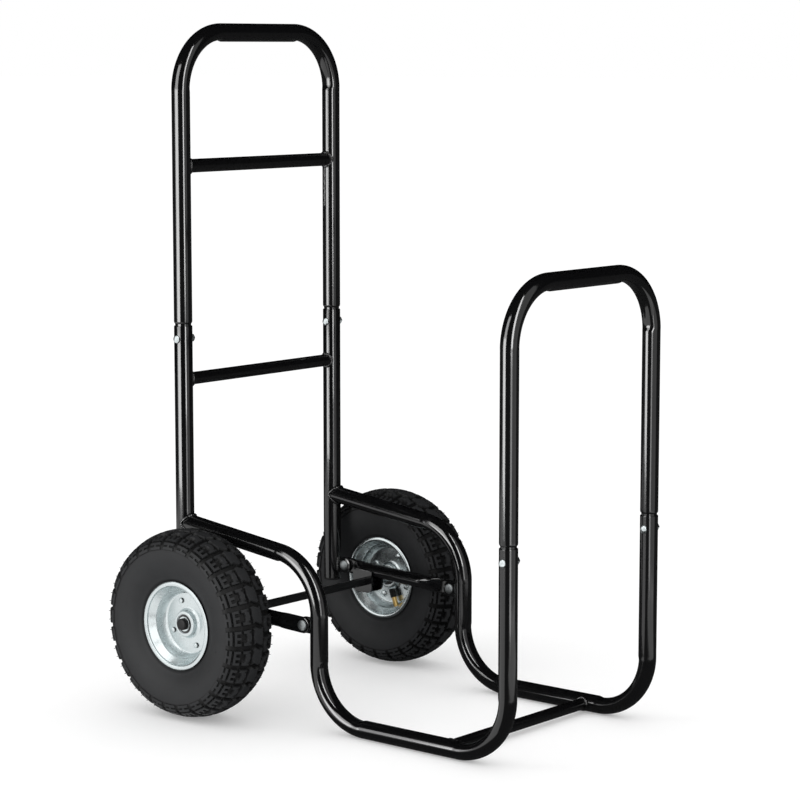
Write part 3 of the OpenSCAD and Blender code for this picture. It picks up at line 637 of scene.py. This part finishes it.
def mouth(grid, radius, depth):
    """Turns a swept tube's last ring over its broken edge into the bore, and closes it
    below. Each new ring is the last one scaled about its centre."""
    centre, bore = grid[-1].mean(0), radius - WALL
    unit = (grid[-1] - centre) / np.linalg.norm(grid[-1] - centre, axis=1, keepdims=True)
    steps = mouth_edge(radius, bore) + [(bore, -depth), (0.0, -depth)]
    rings = [centre + unit * wide + np.array([0, 0, high]) for wide, high in steps]
    return np.concatenate([grid[:-1], rings])


for side, hand in SIDES:
    corners = [(UPRIGHT_X + INTO_UPRIGHT, SHELF_Z - INTO_UPRIGHT * np.tan(SHELF_FALL)),
               (DROP_X, CORNER_Z), (DROP_X, SIDE_R), (FRONT_X, SIDE_R), (FRONT_X, FRONT_JOINT)]
    grid = swept_tube(corners, SIDE_R, side_plane(side * SIDE_Y), ends_at=(0.7,))
    closed = grid[:1].mean(1, keepdims=True).repeat(grid.shape[1], 1)
    grid = mouth(np.concatenate([closed, grid]), SIDE_R, SIDE_BORE_DEPTH)
    painted("side_tube_" + hand, "tube", [(grid, False, True)])

    bore = UPRIGHT_R - WALL
    ring = [(bore, UPRIGHT_FOOT), (UPRIGHT_R - 0.3, UPRIGHT_FOOT), (UPRIGHT_R, UPRIGHT_FOOT + 0.3),
            (UPRIGHT_R, 300)]
    ring += [(wide, REAR_JOINT + high) for wide, high in mouth_edge(UPRIGHT_R, bore)]
    ring.append((bore, REAR_JOINT - UPRIGHT_BORE_DEPTH))
    upright = turned(ring, AROUND) + (UPRIGHT_X, side * SIDE_Y, 0)
    painted("rear_upright_" + hand, "tube", [(upright, True, True)])
print("two side tubes and two uprights")

# %% [markdown]
# ## Crossbars
# Three thin tubes tie the sides together. Their ends could be cut to fit, but each ends
# inside the tubes that it is welded to, and the bead hides where it goes in.

# %% Bars across the cart
BARS = {"handle_crossbar": (UPRIGHT_X, 750.0, 9.5), "rear_crossbar": (UPRIGHT_X, 455.0, 8.75),
        "floor_crossbar": (FRONT_X - 100.0, SIDE_R, 8.0)}
BAR_END = 8.0  # mm from a side tube's centreline to a bar's end


def rod(x, z, radius, reach, edge=0.0):
    """A round bar across the cart, centred on Y, that reaches the same way to both sides."""
    line = [(0, -reach), (radius - edge, -reach), (radius, -reach + edge), (radius, 0),
            (radius, reach - edge), (radius - edge, reach), (0, reach)]
    return facing_right(turned(line, 48), (x, 0, z))


for name, (x, z, radius) in BARS.items():
    painted(name, "bar", [rod(x, z, radius, SIDE_Y - BAR_END)])
print(len(BARS), "crossbars")

# %% [markdown]
# ## Braces
# A brace is a round tube whose ends are pressed flat and bolted to a welded plate. A tube
# with boxes at its ends would miss the gradual press. So its section is a superellipse,
# whose exponent grows from 2, a circle, to 7, a flat bar with round corners.

# %% Pressed tubes
REAR_PIN, FRONT_PIN = np.array([-234.125, 148.8]), np.array([-33.125, 140.0])
RUN = float(np.hypot(*(FRONT_PIN - REAR_PIN)))
ALONG = (FRONT_PIN - REAR_PIN) / RUN
END_R, FLAT_HALF, BRACE_R = 11.0, 2.5, 10.0
FLAT_LEN, REAR_TAPER, FRONT_TAPER = 14, 24, 46


def pressed_tube(around=48):
    """Distances along the brace, and half widths and half thicknesses round it. At the
    distance s past a bolt the half width is the root of 121 less s squared, and the half
    thickness goes from 2.5 to 10 by a smooth step after the flat end."""
    rounded = END_R * (1 - np.cos(np.linspace(0.02, 1.0, 12) * np.pi / 2)) - END_R
    end = np.concatenate([rounded, np.linspace(3, 38, 24)])
    s = np.concatenate([end, np.linspace(44, RUN - 64, 20), RUN - np.linspace(60, 42, 7),
                        RUN - end[::-1]])
    near = np.minimum(s, RUN - s)
    taper = np.where(s > RUN / 2, FRONT_TAPER, REAR_TAPER)
    t = smooth_step(np.clip((near - FLAT_LEN) / taper, 0, 1))
    wide = np.where(near < 0, np.sqrt(np.maximum(END_R ** 2 - near ** 2, 0.04)),
                    END_R + (BRACE_R - END_R) * t)
    thick = FLAT_HALF + (BRACE_R - FLAT_HALF) * t
    power = (2 / (7 - 5 * np.clip(t * 1.6, 0, 1)))[:, None]
    angle = np.linspace(0, 2 * np.pi, around, endpoint=False)
    cosine, sine = np.cos(angle)[None, :], np.sin(angle)[None, :]
    return (s, wide[:, None] * np.sign(cosine) * np.abs(cosine) ** power,
            thick[:, None] * np.sign(sine) * np.abs(sine) ** power)


far, up, out = pressed_tube()
brace_x = REAR_PIN[0] + far[:, None] * ALONG[0] - up * ALONG[1]
brace_z = REAR_PIN[1] + far[:, None] * ALONG[1] + up * ALONG[0]
for side, hand in SIDES:
    grid = capped(np.stack([brace_x, side * BRACE_Y + out, brace_z], -1))
    painted("brace_" + hand, "tube", [(grid, False, True)])
print("braces", round(RUN, 1), "mm between bolts")

# %% [markdown]
# ## Lugs
# A lug is a stamped tongue, welded to a tube on its edge, that takes a brace bolt. A box
# would have hard corners, so a plate is a stack of its outline, drawn in at both faces.

# %% Plates that the braces bolt to
LUG_T, LUG_ROOT = 4.0, 14.5  # thickness, and how far the plate runs back from its bolt


def plate(outline, thickness, edge=0.4):
    """A flat plate with eased edges, from a convex outline. Each ring is the outline scaled
    about its centre, and the edge in mm is a share of its mean radius."""
    outline = np.asarray(outline, float)
    centre = outline.mean(0)
    ease = edge / np.linalg.norm(outline - centre, axis=1).mean()
    half = thickness / 2
    lower = [(0.0, -half), (1 - ease, -half), (1 - 0.3 * ease, -half + 0.3 * edge),
             (1.0, -half + edge)]
    rings = lower + [(share, -high) for share, high in lower[::-1]]
    return np.stack([np.column_stack([centre + (outline - centre) * share,
                                      np.full(len(outline), high)]) for share, high in rings])


sweep = np.linspace(np.pi / 2, 3 * np.pi / 2, 25)
tongue = np.concatenate([END_R * np.stack([np.cos(sweep), np.sin(sweep)], -1),
                         np.stack([np.linspace(2, 14, 7), np.full(7, -END_R)], -1),
                         np.stack([np.full(9, LUG_ROOT), np.linspace(-10, 10, 9)], -1),
                         np.stack([np.linspace(14, 2, 7), np.full(7, END_R)], -1)])
for part, pin, ahead in (("drop_lug", FRONT_PIN, 1), ("upright_lug", REAR_PIN, -1)):
    pair = [laid(plate(tongue, LUG_T), (ahead, 0, 0), (0, 0, 1), (0, 1, 0),
                 (pin[0], side * SIDE_Y, pin[1])) for side, hand in SIDES]
    painted(part, "plates", [(lug, False, True) for lug in pair], part + "s")
print("four lugs, each", LUG_T, "mm thick")

# %% [markdown]
# ## Weld beads
# Each joint is a fillet of overlapping puddles under the paint. A bump could draw the
# ripples, but light catches their real edge. Where a bar of radius a meets a tube of
# radius R, the seam lies sqrt(R^2 - (a cos t)^2) from the tube's axis at the angle t.

# %% A rippled bead and the seam it follows
PUDDLE, SEAM_BEAD, PLATE_BEAD = 2.4, 1.9, 1.8


def bead(curve, normal, radius, closed, seed=0):
    """A round bead along a curve, whose radius swells with the sine of the distance, once a
    puddle. normal is a direction across it at each point, and seed varies the ripples."""
    step = np.roll(curve, -1, 0) - np.roll(curve, 1, 0) if closed else np.gradient(curve, axis=0)
    tangent = step / np.linalg.norm(step, axis=1, keepdims=True)
    other = np.cross(tangent, normal)
    other /= np.linalg.norm(other, axis=1, keepdims=True)
    across = np.cross(other, tangent)
    gone = np.concatenate([[0], np.cumsum(np.linalg.norm(np.diff(curve, axis=0), axis=1))])
    wander = np.sin(gone * 0.37 + seed) + 0.6 * np.sin(gone * 0.83 + 2.1 * seed)
    ripple = np.abs(np.sin(np.pi * gone / PUDDLE + 0.4 * wander))
    thick = radius * (1 + 0.13 * ripple + 0.05 * wander)
    if not closed:
        thick = thick * np.sqrt(np.clip(np.minimum(gone, gone[-1] - gone) / 2.5 + 0.05, 0, 1))
    angle = np.linspace(0, 2 * np.pi, 14, endpoint=False)[None, :, None]
    ring = across[:, None, :] * np.cos(angle) + other[:, None, :] * np.sin(angle)
    grid = curve[:, None, :] + thick[:, None, None] * ring
    return (grid, True, True) if closed else (capped(grid), False, True)


def straight_bead(place, along, reach, count, face, seed):
    """A bead that runs reach mm to both sides of place, on one face, 1 or -1, of a plate."""
    line = np.asarray(place) + np.linspace(-reach, reach, count)[:, None] * np.asarray(along)
    return bead(line, np.tile([0.0, face, 0.0], (count, 1)), PLATE_BEAD, False, seed)


def seam(place, branch, across, bar, tube, seed):
    """The saddle curve of a bar that leaves the axis point place along branch, on a tube.
    bar and tube are radii, and across is square to both of their axes."""
    place, branch, across = (np.asarray(each, float) for each in (place, branch, across))
    along = np.cross(branch, across)
    t = np.linspace(0, 2 * np.pi, 180, endpoint=False)[:, None]
    reach = np.sqrt(tube ** 2 - (bar * np.cos(t)) ** 2) + 0.9
    outward = across * np.cos(t) + along * np.sin(t)
    return bead(place + branch * reach + outward * (bar + 0.5), outward, SEAM_BEAD, True, seed)


print("puddles", PUDDLE, "mm apart")

# %% Every bead of the frame
FALL = (np.cos(SHELF_FALL), 0, -np.sin(SHELF_FALL))
AXLE_LUG_Z = 147.3  # where the bracket's cheeks meet the brace
beads = []
for side, hand in SIDES:
    for seed, name in enumerate(("handle_crossbar", "rear_crossbar")):
        x, z, radius = BARS[name]
        beads.append(seam((x, side * SIDE_Y, z), (0, -side, 0), (1, 0, 0), radius, UPRIGHT_R,
                          seed + side))
    x, z, radius = BARS["floor_crossbar"]
    beads.append(seam((x, side * SIDE_Y, z), (0, -side, 0), (0, 0, 1), radius, SIDE_R, 5 + side))
    beads.append(seam((UPRIGHT_X, side * SIDE_Y, SHELF_Z), FALL, (0, 1, 0), SIDE_R, UPRIGHT_R,
                      8 + side))
    for x, z in ((DROP_X - SIDE_R - 0.2, FRONT_PIN[1]), (UPRIGHT_X + UPRIGHT_R + 0.2, REAR_PIN[1])):
        for face in (-1, 1):
            beads.append(straight_bead((x, side * SIDE_Y + face * 2.6, z), (0, 0, 1), 10.5, 60,
                                       face, x + face))
    for face in (-1, 1):
        beads.append(straight_bead((AXLE_X, side * BRACE_Y + face * 10.6, AXLE_LUG_Z),
                                   (ALONG[0], 0, ALONG[1]), 16, 90, face, 3 + face))

# Spatter ran down the handle hoop's left leg, on the side that faces the cart's middle
INWARD, BESIDE = np.array([-0.136, -0.991, 0.0]), np.array([0.991, -0.136, 0.0])
drops = np.linspace(740, 681, 140)
run = np.column_stack([np.tile((UPRIGHT_X, SIDE_Y), (140, 1)), drops]) + INWARD * 12.5
run += 0.4 * np.sin(np.linspace(0, 32, 140))[:, None] * BESIDE
beads.append(bead(run, np.tile(INWARD, (140, 1)), 1.5, False, 4))
painted("weld", "beads", beads, "", sharp=80.0)
print(len(beads), "weld beads")

# %% [markdown]
# ## Bolts and axle
# Dome head bolts face the same way on both sides of the cart, and the axle is one bar
# right through. A scaled ball would be pinched at its rim, so each is a spun profile.

# %% Dome bolts and the axle
def dome_bolt(head, height, shank, length):
    """A shank and a quarter ellipse for the head, which is head / 2 times the cosine wide
    and its height times the sine high, with the head's flat face at zero."""
    angle = np.linspace(0.12, np.pi / 2, 12)
    dome = np.stack([head / 2 * np.cos(angle), 0.7 + (height - 0.7) * np.sin(angle)], -1)
    return np.concatenate([[(0, -length), (shank / 2 - 0.6, -length),
                            (shank / 2, 0.6 - length), (shank / 2, 0), (head / 2 - 0.2, 0),
                            (head / 2, 0.2), (head / 2, 0.6)], dome[:-1], [(0, height)]])


for name, x, joint, radius in (("handle_bolts", UPRIGHT_X, REAR_JOINT, UPRIGHT_R),
                               ("front_bolts", FRONT_X, FRONT_JOINT, SIDE_R)):
    shape = turned(dome_bolt(11.0, 3.3, 6.0, 2 * radius + 7.0), 48)
    pair = [(x, side * SIDE_Y - radius, joint - BOLT_DROP) for side, hand in SIDES]
    piece(name, "domes", [facing_right(shape, place) for place in pair], "frame", "zinc_plate")
shape = turned(dome_bolt(14.8, 4.0, 8.0, 17.0), 56)
heads = [(pin[0], head_y, pin[1]) for head_y in (153.0, -162.0) for pin in (REAR_PIN, FRONT_PIN)]
piece("brace_bolts", "domes", [facing_right(shape, place) for place in heads], "frame",
      "zinc_plate", skin=dull_zinc)
piece("axle", "bar", [rod(AXLE_X, AXLE_Z, AXLE_R, 232.0, edge=0.8)], "frame", "axle_steel")
print("eight bolts and the axle")

# %% [markdown]
# ## Plugs, sleeves, washers and caps
# A plastic plug closes the foot of each rear upright. A sleeve keeps each wheel off its
# bracket, and a washer and a push-on cap hold it outside. Their profiles are lists of
# corners, as they would be drawn for a lathe.

# %% Small turned pieces
plug = [(0, -3), (11.2, -3), (12.1, -2.7), (12.6, -2.1), (12.75, -1.5), (12.75, 0), (11.1, 0),
        (11.1, 11), (10.1, 12), (0, 12)]
pair = [turned(plug, 48) + (UPRIGHT_X, side * SIDE_Y, UPRIGHT_FOOT) for side, hand in SIDES]
piece("upright_plugs", "caps", [(grid, True, False) for grid in pair], "frame", "black_plastic")

sleeve = [(BORE, -42.5), (8.6, -42.5), (9.0, -42.1), (9.0, -10.4), (8.6, -10.0),
          (BORE, -10.0)]
washer = [(BORE, 10.0), (10.0, 10.0), (10.25, 10.25), (10.25, 11.75), (10.0, 12.0),
          (BORE, 12.0)]
cap = [(BORE, 12.0), (8.0, 12.0), (8.0, 16.0), (7.85, 16.7), (7.4, 17.3), (6.5, 17.8),
       (4.5, 18.2), (2.2, 18.36), (0, 18.4), (0, 17.2), (BORE, 17.2)]
for side, hand in SIDES:
    piece("axle_spacer_" + hand, "sleeve", [(on_wheel(turned(sleeve, 48), side), True, True)],
          "frame", "zinc_plate")
    piece("axle_cap_" + hand, "dome", [(on_wheel(turned(cap, 48), side), True, True)],
          "frame", "black_plastic")
pair = [(on_wheel(turned(washer, 56), side), True, True) for side, hand in SIDES]
piece("axle_washers", "rings", pair, "frame", "zinc_plate")
print("plugs, sleeves, washers and caps")

# %% [markdown]
# ## Pressed rims
# Each rim is two steel pressings back to back, riveted through the disc. A solid disc
# would show no folds, so the sheet is one rounded line, offset by half its thickness to
# either side, with a shallow dimple round each rivet.

# %% The sheet's folds
SHEET, FOLD_R = 1.8, 1.6
rise = np.linspace(0, 1, 7)
FOLDS = np.concatenate([[(13.8, 10.9), (16.92, 10.9), (16.92, 4.0), (20.8, 0.9), (41.5, 0.9)],
                        np.stack([48.3 - 4.9 * (1 - rise) ** 2, 2.4 + 14.4 * rise], -1),
                        [(55.4, 26.0), (55.7, 27.9), (57.6, 28.7), (59.4, 28.3), (60.5, 27.5)]])


def softened(line, radius, steps):
    """Rounds each inner corner of a line with a quadratic curve that the corner pulls. Its
    ends lie radius away from the corner, or two fifths of the shorter leg."""
    line = np.asarray(line, float)
    t = np.linspace(0, 1, steps + 1)[:, None]
    points = [line[0]]
    for before, corner, after in zip(line[:-2], line[1:-1], line[2:]):
        back, ahead = np.linalg.norm(before - corner), np.linalg.norm(after - corner)
        cut = min(radius, back * 0.4, ahead * 0.4)
        start = corner + (before - corner) / back * cut
        end = corner + (after - corner) / ahead * cut
        points.extend((1 - t) ** 2 * start + 2 * t * (1 - t) * corner + t * t * end)
    points.append(line[-1])
    return np.array(points)


def pressed_sheet():
    """Offsets the rounded folds by half the sheet along their normal, both ways."""
    line = softened(FOLDS, FOLD_R, 5)
    slope = np.gradient(line, axis=0)
    normal = np.stack([-slope[:, 1], slope[:, 0]], -1)
    normal = normal / np.linalg.norm(slope, axis=1, keepdims=True)
    return np.concatenate([line + normal * SHEET / 2, (line - normal * SHEET / 2)[::-1]])


print("the sheet's profile has", len(pressed_sheet()), "points")

# %% Rims and rivets
RIVET_CIRCLE, DIMPLE_R, DIMPLE_SLOPE, DIMPLE_DEPTH = 32.5, 6.6, 1.5, 1.0
RIVETS = np.radians(25.0 + 90.0 * np.arange(4))
spots = RIVET_CIRCLE * np.stack([np.cos(RIVETS), np.sin(RIVETS)], -1)


def dimpled(points):
    """Sinks the disc by DIMPLE_DEPTH inside DIMPLE_R of each rivet, with a soft slope."""
    apart = np.linalg.norm(points[..., None, :2] - spots, axis=-1).min(-1)
    sunk = smooth_step(np.clip((DIMPLE_R - apart) / DIMPLE_SLOPE, 0, 1))
    on_disc = np.clip((4.0 - np.abs(points[..., 2])) / 2.0, 0, 1)
    moved = points.copy()
    moved[..., 2] -= DIMPLE_DEPTH * sunk * on_disc
    return moved


def points_in_mm(obj):
    """A piece's own points as rows of X, Y, Z in mm."""
    flat = np.empty(len(obj.data.vertices) * 3)
    obj.data.vertices.foreach_get("co", flat)
    return flat.reshape(-1, 3) / MM


def marked(obj, attribute, values):
    """Stores a number from 0 to 1 at each point of a piece, for its finish to read."""
    stored = obj.data.attributes.new(attribute, "FLOAT", "POINT")
    stored.data.foreach_set("value", values.astype(np.float32))


rivet = [(0, -4.3), (3.5, -4.2), (4.6, -3.6), (5.2, -2.6), (5.4, -1.8), (3.0, -1.8), (3.0, 1.3),
         (3.7, 1.3), (3.7, 3.2), (3.4, 4.0), (2.6, 4.55), (1.2, 4.78), (0, 4.8)]
HEAD_FOOT = 3.3  # mm: the shaded skirt of a rivet's head ends here
pressing = turned(pressed_sheet(), 300)
for side, hand in SIDES:
    wheel = "wheel_" + hand
    for part, grid in (("rim_outer_", dimpled(pressing)), ("rim_inner_", pressing * (1, 1, -1))):
        piece(part + hand, "pressing", [(on_wheel(grid, side), True, True)], wheel, "zinc_plate")
    heads = [(on_wheel(turned(rivet, 40) + (*spot, 0), side), True, False) for spot in spots]
    rivets = piece("rim_rivets_" + hand, "heads", heads, wheel, "zinc_plate")
    # Painted shade: the skirt of each rivet head, up to HEAD_FOOT, is marked to take a darker
    # colour
    high = side * points_in_mm(rivets)[:, 1] - WHEEL_Y
    marked(rivets, "painted_foot_shade", (high > 0) & (high < HEAD_FOOT))
print("rims with", len(RIVETS), "rivets each")

# %% [markdown]
# ## Tread pattern
# The two sides of the tread are half a pitch apart. Each lug could be its own mesh, but a
# moulded tyre is one skin, so the pattern is a mask over it: 1 on a lug and 0 in a
# groove. x runs along the tread and y across it from the middle, both in mm.

# %% Lugs and grooves as a mask
PITCHES, PITCH = 28, 29.17
HALF_PITCH = PITCH / 2
EDGE = 0.8
LUGS = [(-11, 11, 41, 45.2), (-11, 11, 47.5, 51.8), (-2.2, 2.2, 44, 49), (-11, 11, 34.5, 38.5),
        (-11, -6.5, 28.5, 35.5), (-2.2, 2.2, 28.5, 35.5), (6.5, 11, 28.5, 35.5),
        (-11, -6.2, 19, 25), (6.2, 11, 19, 25)]
WAVY_LUG = (-11, 11, 12.7, 20.5)


def block(x, y, x0, x1, y0, y1):
    """1 inside a rectangle and 0 outside: half less the distance past its edge over EDGE."""
    past = np.maximum(np.maximum(x0 - x, x - x1), np.maximum(y0 - y, y - y1))
    return np.clip(0.5 - past / EDGE, 0, 1)


def zigzag(x, step):
    """A triangle wave from -1 to 1 with the wavelength step."""
    return 4 * np.abs(x / step - np.floor(x / step + 0.5)) - 1


def lugs(x, y):
    """The lugs of one side in one pitch. The one next to the middle row has wavy edges."""
    mask = block(x, y - 0.9 * zigzag(x, HALF_PITCH), *WAVY_LUG)
    for corners in LUGS:
        mask = np.maximum(mask, block(x, y, *corners))
    return mask


def one_pitch(x):
    """Folds a distance along the tread into a single pitch about zero."""
    return (x + HALF_PITCH) % PITCH - HALF_PITCH


def tread_mask(x, y):
    """The whole tread: the lugs of both sides, and a middle row whose gaps slant."""
    slant = one_pitch(x - 4.2 * zigzag(y + 4.5, 18.0) * 0.6)
    row = 8.9 - 0.9 * zigzag(x, HALF_PITCH)
    middle = np.clip(0.5 - np.maximum(np.abs(slant) - 11.4, np.abs(y) - row) / EDGE, 0, 1)
    near, far = lugs(one_pitch(x), y), lugs(one_pitch(x + HALF_PITCH), -y)
    return np.maximum(middle, np.where(y > 0, near, far))


print(PITCHES, "pitches of", PITCH, "mm")

# %% [markdown]
# ## Tyre surface
# Over the blocks the tyre is a crown arc and a shoulder arc, and below them the side wall
# is a third. A point of the tread is the envelope's point less depth times (1 - mask)
# times the normal. The grid's lines stand on the lugs' edges, so few give crisp blocks.

# %% Envelope, side wall and foot
CROWN_R, CROWN_CENTRE = 68.0, 62.0
SHOULDER_R, SHOULDER_AT_R, SHOULDER_AT_U = 17.5, 106.43, 24.0
WALL_ARC, WALL_AT_R, WALL_AT_U = 58.3, 100.43, -18.3
TURN_IN = np.radians(28.38)  # where the crown's arc becomes the shoulder's
CROWN_HALF = CROWN_R * TURN_IN
TREAD_DEPTH, SHALLOWER = 4.0, 2.4  # mm, and what the outermost grooves lack of it


def envelope(y):
    """The radius, the distance from the mid plane and the normal's angle at y over the
    tread, for y of 0 or more: an arc's centre plus its radius times cosine and sine."""
    on_crown = y < CROWN_HALF
    lean = np.where(on_crown, y / CROWN_R, TURN_IN + (y - CROWN_HALF) / SHOULDER_R)
    arc = np.where(on_crown, CROWN_R, SHOULDER_R)
    radius = np.where(on_crown, CROWN_CENTRE, SHOULDER_AT_R) + arc * np.cos(lean)
    return radius, np.where(on_crown, 0.0, SHOULDER_AT_U) + arc * np.sin(lean), lean


def side_wall(radius):
    """The side wall's distance from the mid plane at a radius, on its arc."""
    return WALL_AT_U + np.sqrt(WALL_ARC ** 2 - (radius - WALL_AT_R) ** 2)


half = np.array([0, 1.8, 2.6, 3.2, 4.0, 5.0, 6.1, 6.9, 7.7, 8.5, 9.6, 10.6, 11.4, 12.0, 12.8,
                 13.7])
pitch_marks = np.concatenate([-half[:0:-1], half, [HALF_PITCH]])
half = np.array([0, 2.5, 4.8, 6.6, 7.6, 8.4, 9.2, 10.0, 10.8, 11.9, 12.7, 13.6, 16.5, 18.6,
                 20.1, 20.9, 24.6, 25.4, 28.1, 28.9, 31.7, 34.1, 34.9, 38.1, 38.9, 40.6, 41.4,
                 43.2, 44.8, 45.6, 47.1, 47.9, 49.7, 51.4, 52.2])
cross_marks = np.concatenate([-half[:0:-1], half])
turns = np.arange(PITCHES)[:, None] + pitch_marks[None, :] / PITCH
angle = (turns * 2 * np.pi / PITCHES).ravel()
along = np.tile(pitch_marks, PITCHES)

radius, offset, lean = envelope(np.abs(cross_marks))
hand_of = np.sign(cross_marks)
fade = smooth_step(np.clip((np.abs(cross_marks) - 30) / 21, 0, 1))
deep = TREAD_DEPTH - SHALLOWER * fade
sink = deep * (1 - tread_mask(along[:, None], cross_marks[None, :]))
tread_r = radius - sink * np.cos(lean)
tread_u = hand_of * offset - sink * (hand_of * np.sin(lean))

wall_r = np.concatenate([[105.6], np.linspace(104.2, 66.2, 10), [65.4, 64.6, 63.2, 61.5]])
wall_u = side_wall(wall_r) + 0.45 * np.exp(-((wall_r - 65.2) / 0.8) ** 2)
foot = np.array([(60.9, 24.95), (58.0, 24.2), (55.2, 23.3), (52.3, 19.8), (50.85, 17.8)])
wall_r = np.tile(np.concatenate([wall_r, foot[:, 0]]), (len(angle), 1))
wall_u = np.tile(np.concatenate([wall_u, foot[:, 1]]), (len(angle), 1))
r = np.concatenate([wall_r[:, ::-1], tread_r, wall_r], 1)
u = np.concatenate([-wall_u[:, ::-1], tread_u, wall_u], 1)
tyre_skin = np.stack([r * np.cos(angle)[:, None], r * np.sin(angle)[:, None], u], -1)
print("tyre grid", tyre_skin.shape[:2])

# %% Tyres, with painted shade in their grooves
# Painted shade in the grooves grows with depth below the lugs and is full 1.6 mm down
TREAD_EDGE_R, GROOVE_SHADE_FULL = 105.8, 1.6  # mm: the side wall starts, a groove is all dark


def below_lugs(points, side):
    """How far each point lies below the lugs, as a share of GROOVE_SHADE_FULL up to 1: the
    envelope's radius less the distance from its arc's centre."""
    around = np.hypot(points[:, 0] - AXLE_X, points[:, 2] - AXLE_Z)
    aside = np.abs(points[:, 1] - side * WHEEL_Y)
    crown = CROWN_R - np.hypot(around - CROWN_CENTRE, aside)
    out = np.maximum(aside - SHOULDER_AT_U, 0)
    shoulder = SHOULDER_R - np.hypot(around - SHOULDER_AT_R, out)
    below = np.where(aside < (around - CROWN_CENTRE) * np.tan(TURN_IN), crown, shoulder)
    return np.where(around > TREAD_EDGE_R, np.clip(below / GROOVE_SHADE_FULL, 0, 1), 0.0)


for side, hand in SIDES:
    tyre = piece("tyre_" + hand, "rubber", [(on_wheel(tyre_skin, side), True, True)],
                 "wheel_" + hand, "tyre_rubber", sharp=30.0)
    # Painted shade: each point of the tyre is marked by how deep it lies below the lugs
    marked(tyre, "groove", below_lugs(points_in_mm(tyre), side))
print("tyre:", len(tyre.data.polygons), "faces")

# %% [markdown]
# ## Vent spews
# The mould's air leaves through fine holes, and the rubber that follows it stays as short
# hairs on the shoulder lugs and low dots on the side wall. Particle hair could grow them,
# but turned pins of six or eight sides are real meshes.

# %% Hairs and dots
hair = turned([(0, -0.6), (0.5, -0.6), (0.45, 1.0), (0.25, 2.2), (0, 2.3)], 6)
dot = turned([(0, -0.8), (0.9, -0.8), (0.85, 0.2), (0.5, 0.45), (0, 0.5)], 8)
HAIR_AT, HAIR_MARKS = 39.6, (-7.0, 6.0)  # mm across the tread and along one pitch
DOTS, DOT_R, DOT_LEAN = 18, 88.0, 1.78


def grown(shape, radius, offset, round_at, lean, end):
    """One vent spew at an angle round the wheel. lean turns its axis from the wheel's
    radius toward the wheel's axis, and end is 1 outside or -1 inside."""
    cosine, sine = np.cos(round_at), np.sin(round_at)
    outward = np.array([np.cos(lean) * cosine, np.cos(lean) * sine, end * np.sin(lean)])
    sideways = np.array([-sine, cosine, 0.0])
    return laid(shape, sideways, np.cross(outward, sideways), outward,
                (radius * cosine, radius * sine, end * offset))


hair_r, hair_u, hair_lean = (float(value) for value in envelope(HAIR_AT))
spews = []
for end in (1, -1):
    for pitch in np.arange(PITCHES):
        for mark in HAIR_MARKS:
            share = (mark if end > 0 else mark + HALF_PITCH) / PITCH
            spews.append(grown(hair, hair_r, hair_u, (pitch + share) * 2 * np.pi / PITCHES,
                               hair_lean, end))
    for count in np.arange(DOTS):
        spews.append(grown(dot, DOT_R, side_wall(DOT_R), count * 2 * np.pi / DOTS + 0.1,
                           DOT_LEAN, end))
for side, hand in SIDES:
    piece("tyre_" + hand, "vents", [(on_wheel(spew, side), True, False) for spew in spews],
          "wheel_" + hand, "tyre_rubber", node_name="")
print(len(spews), "vent spews on each tyre")
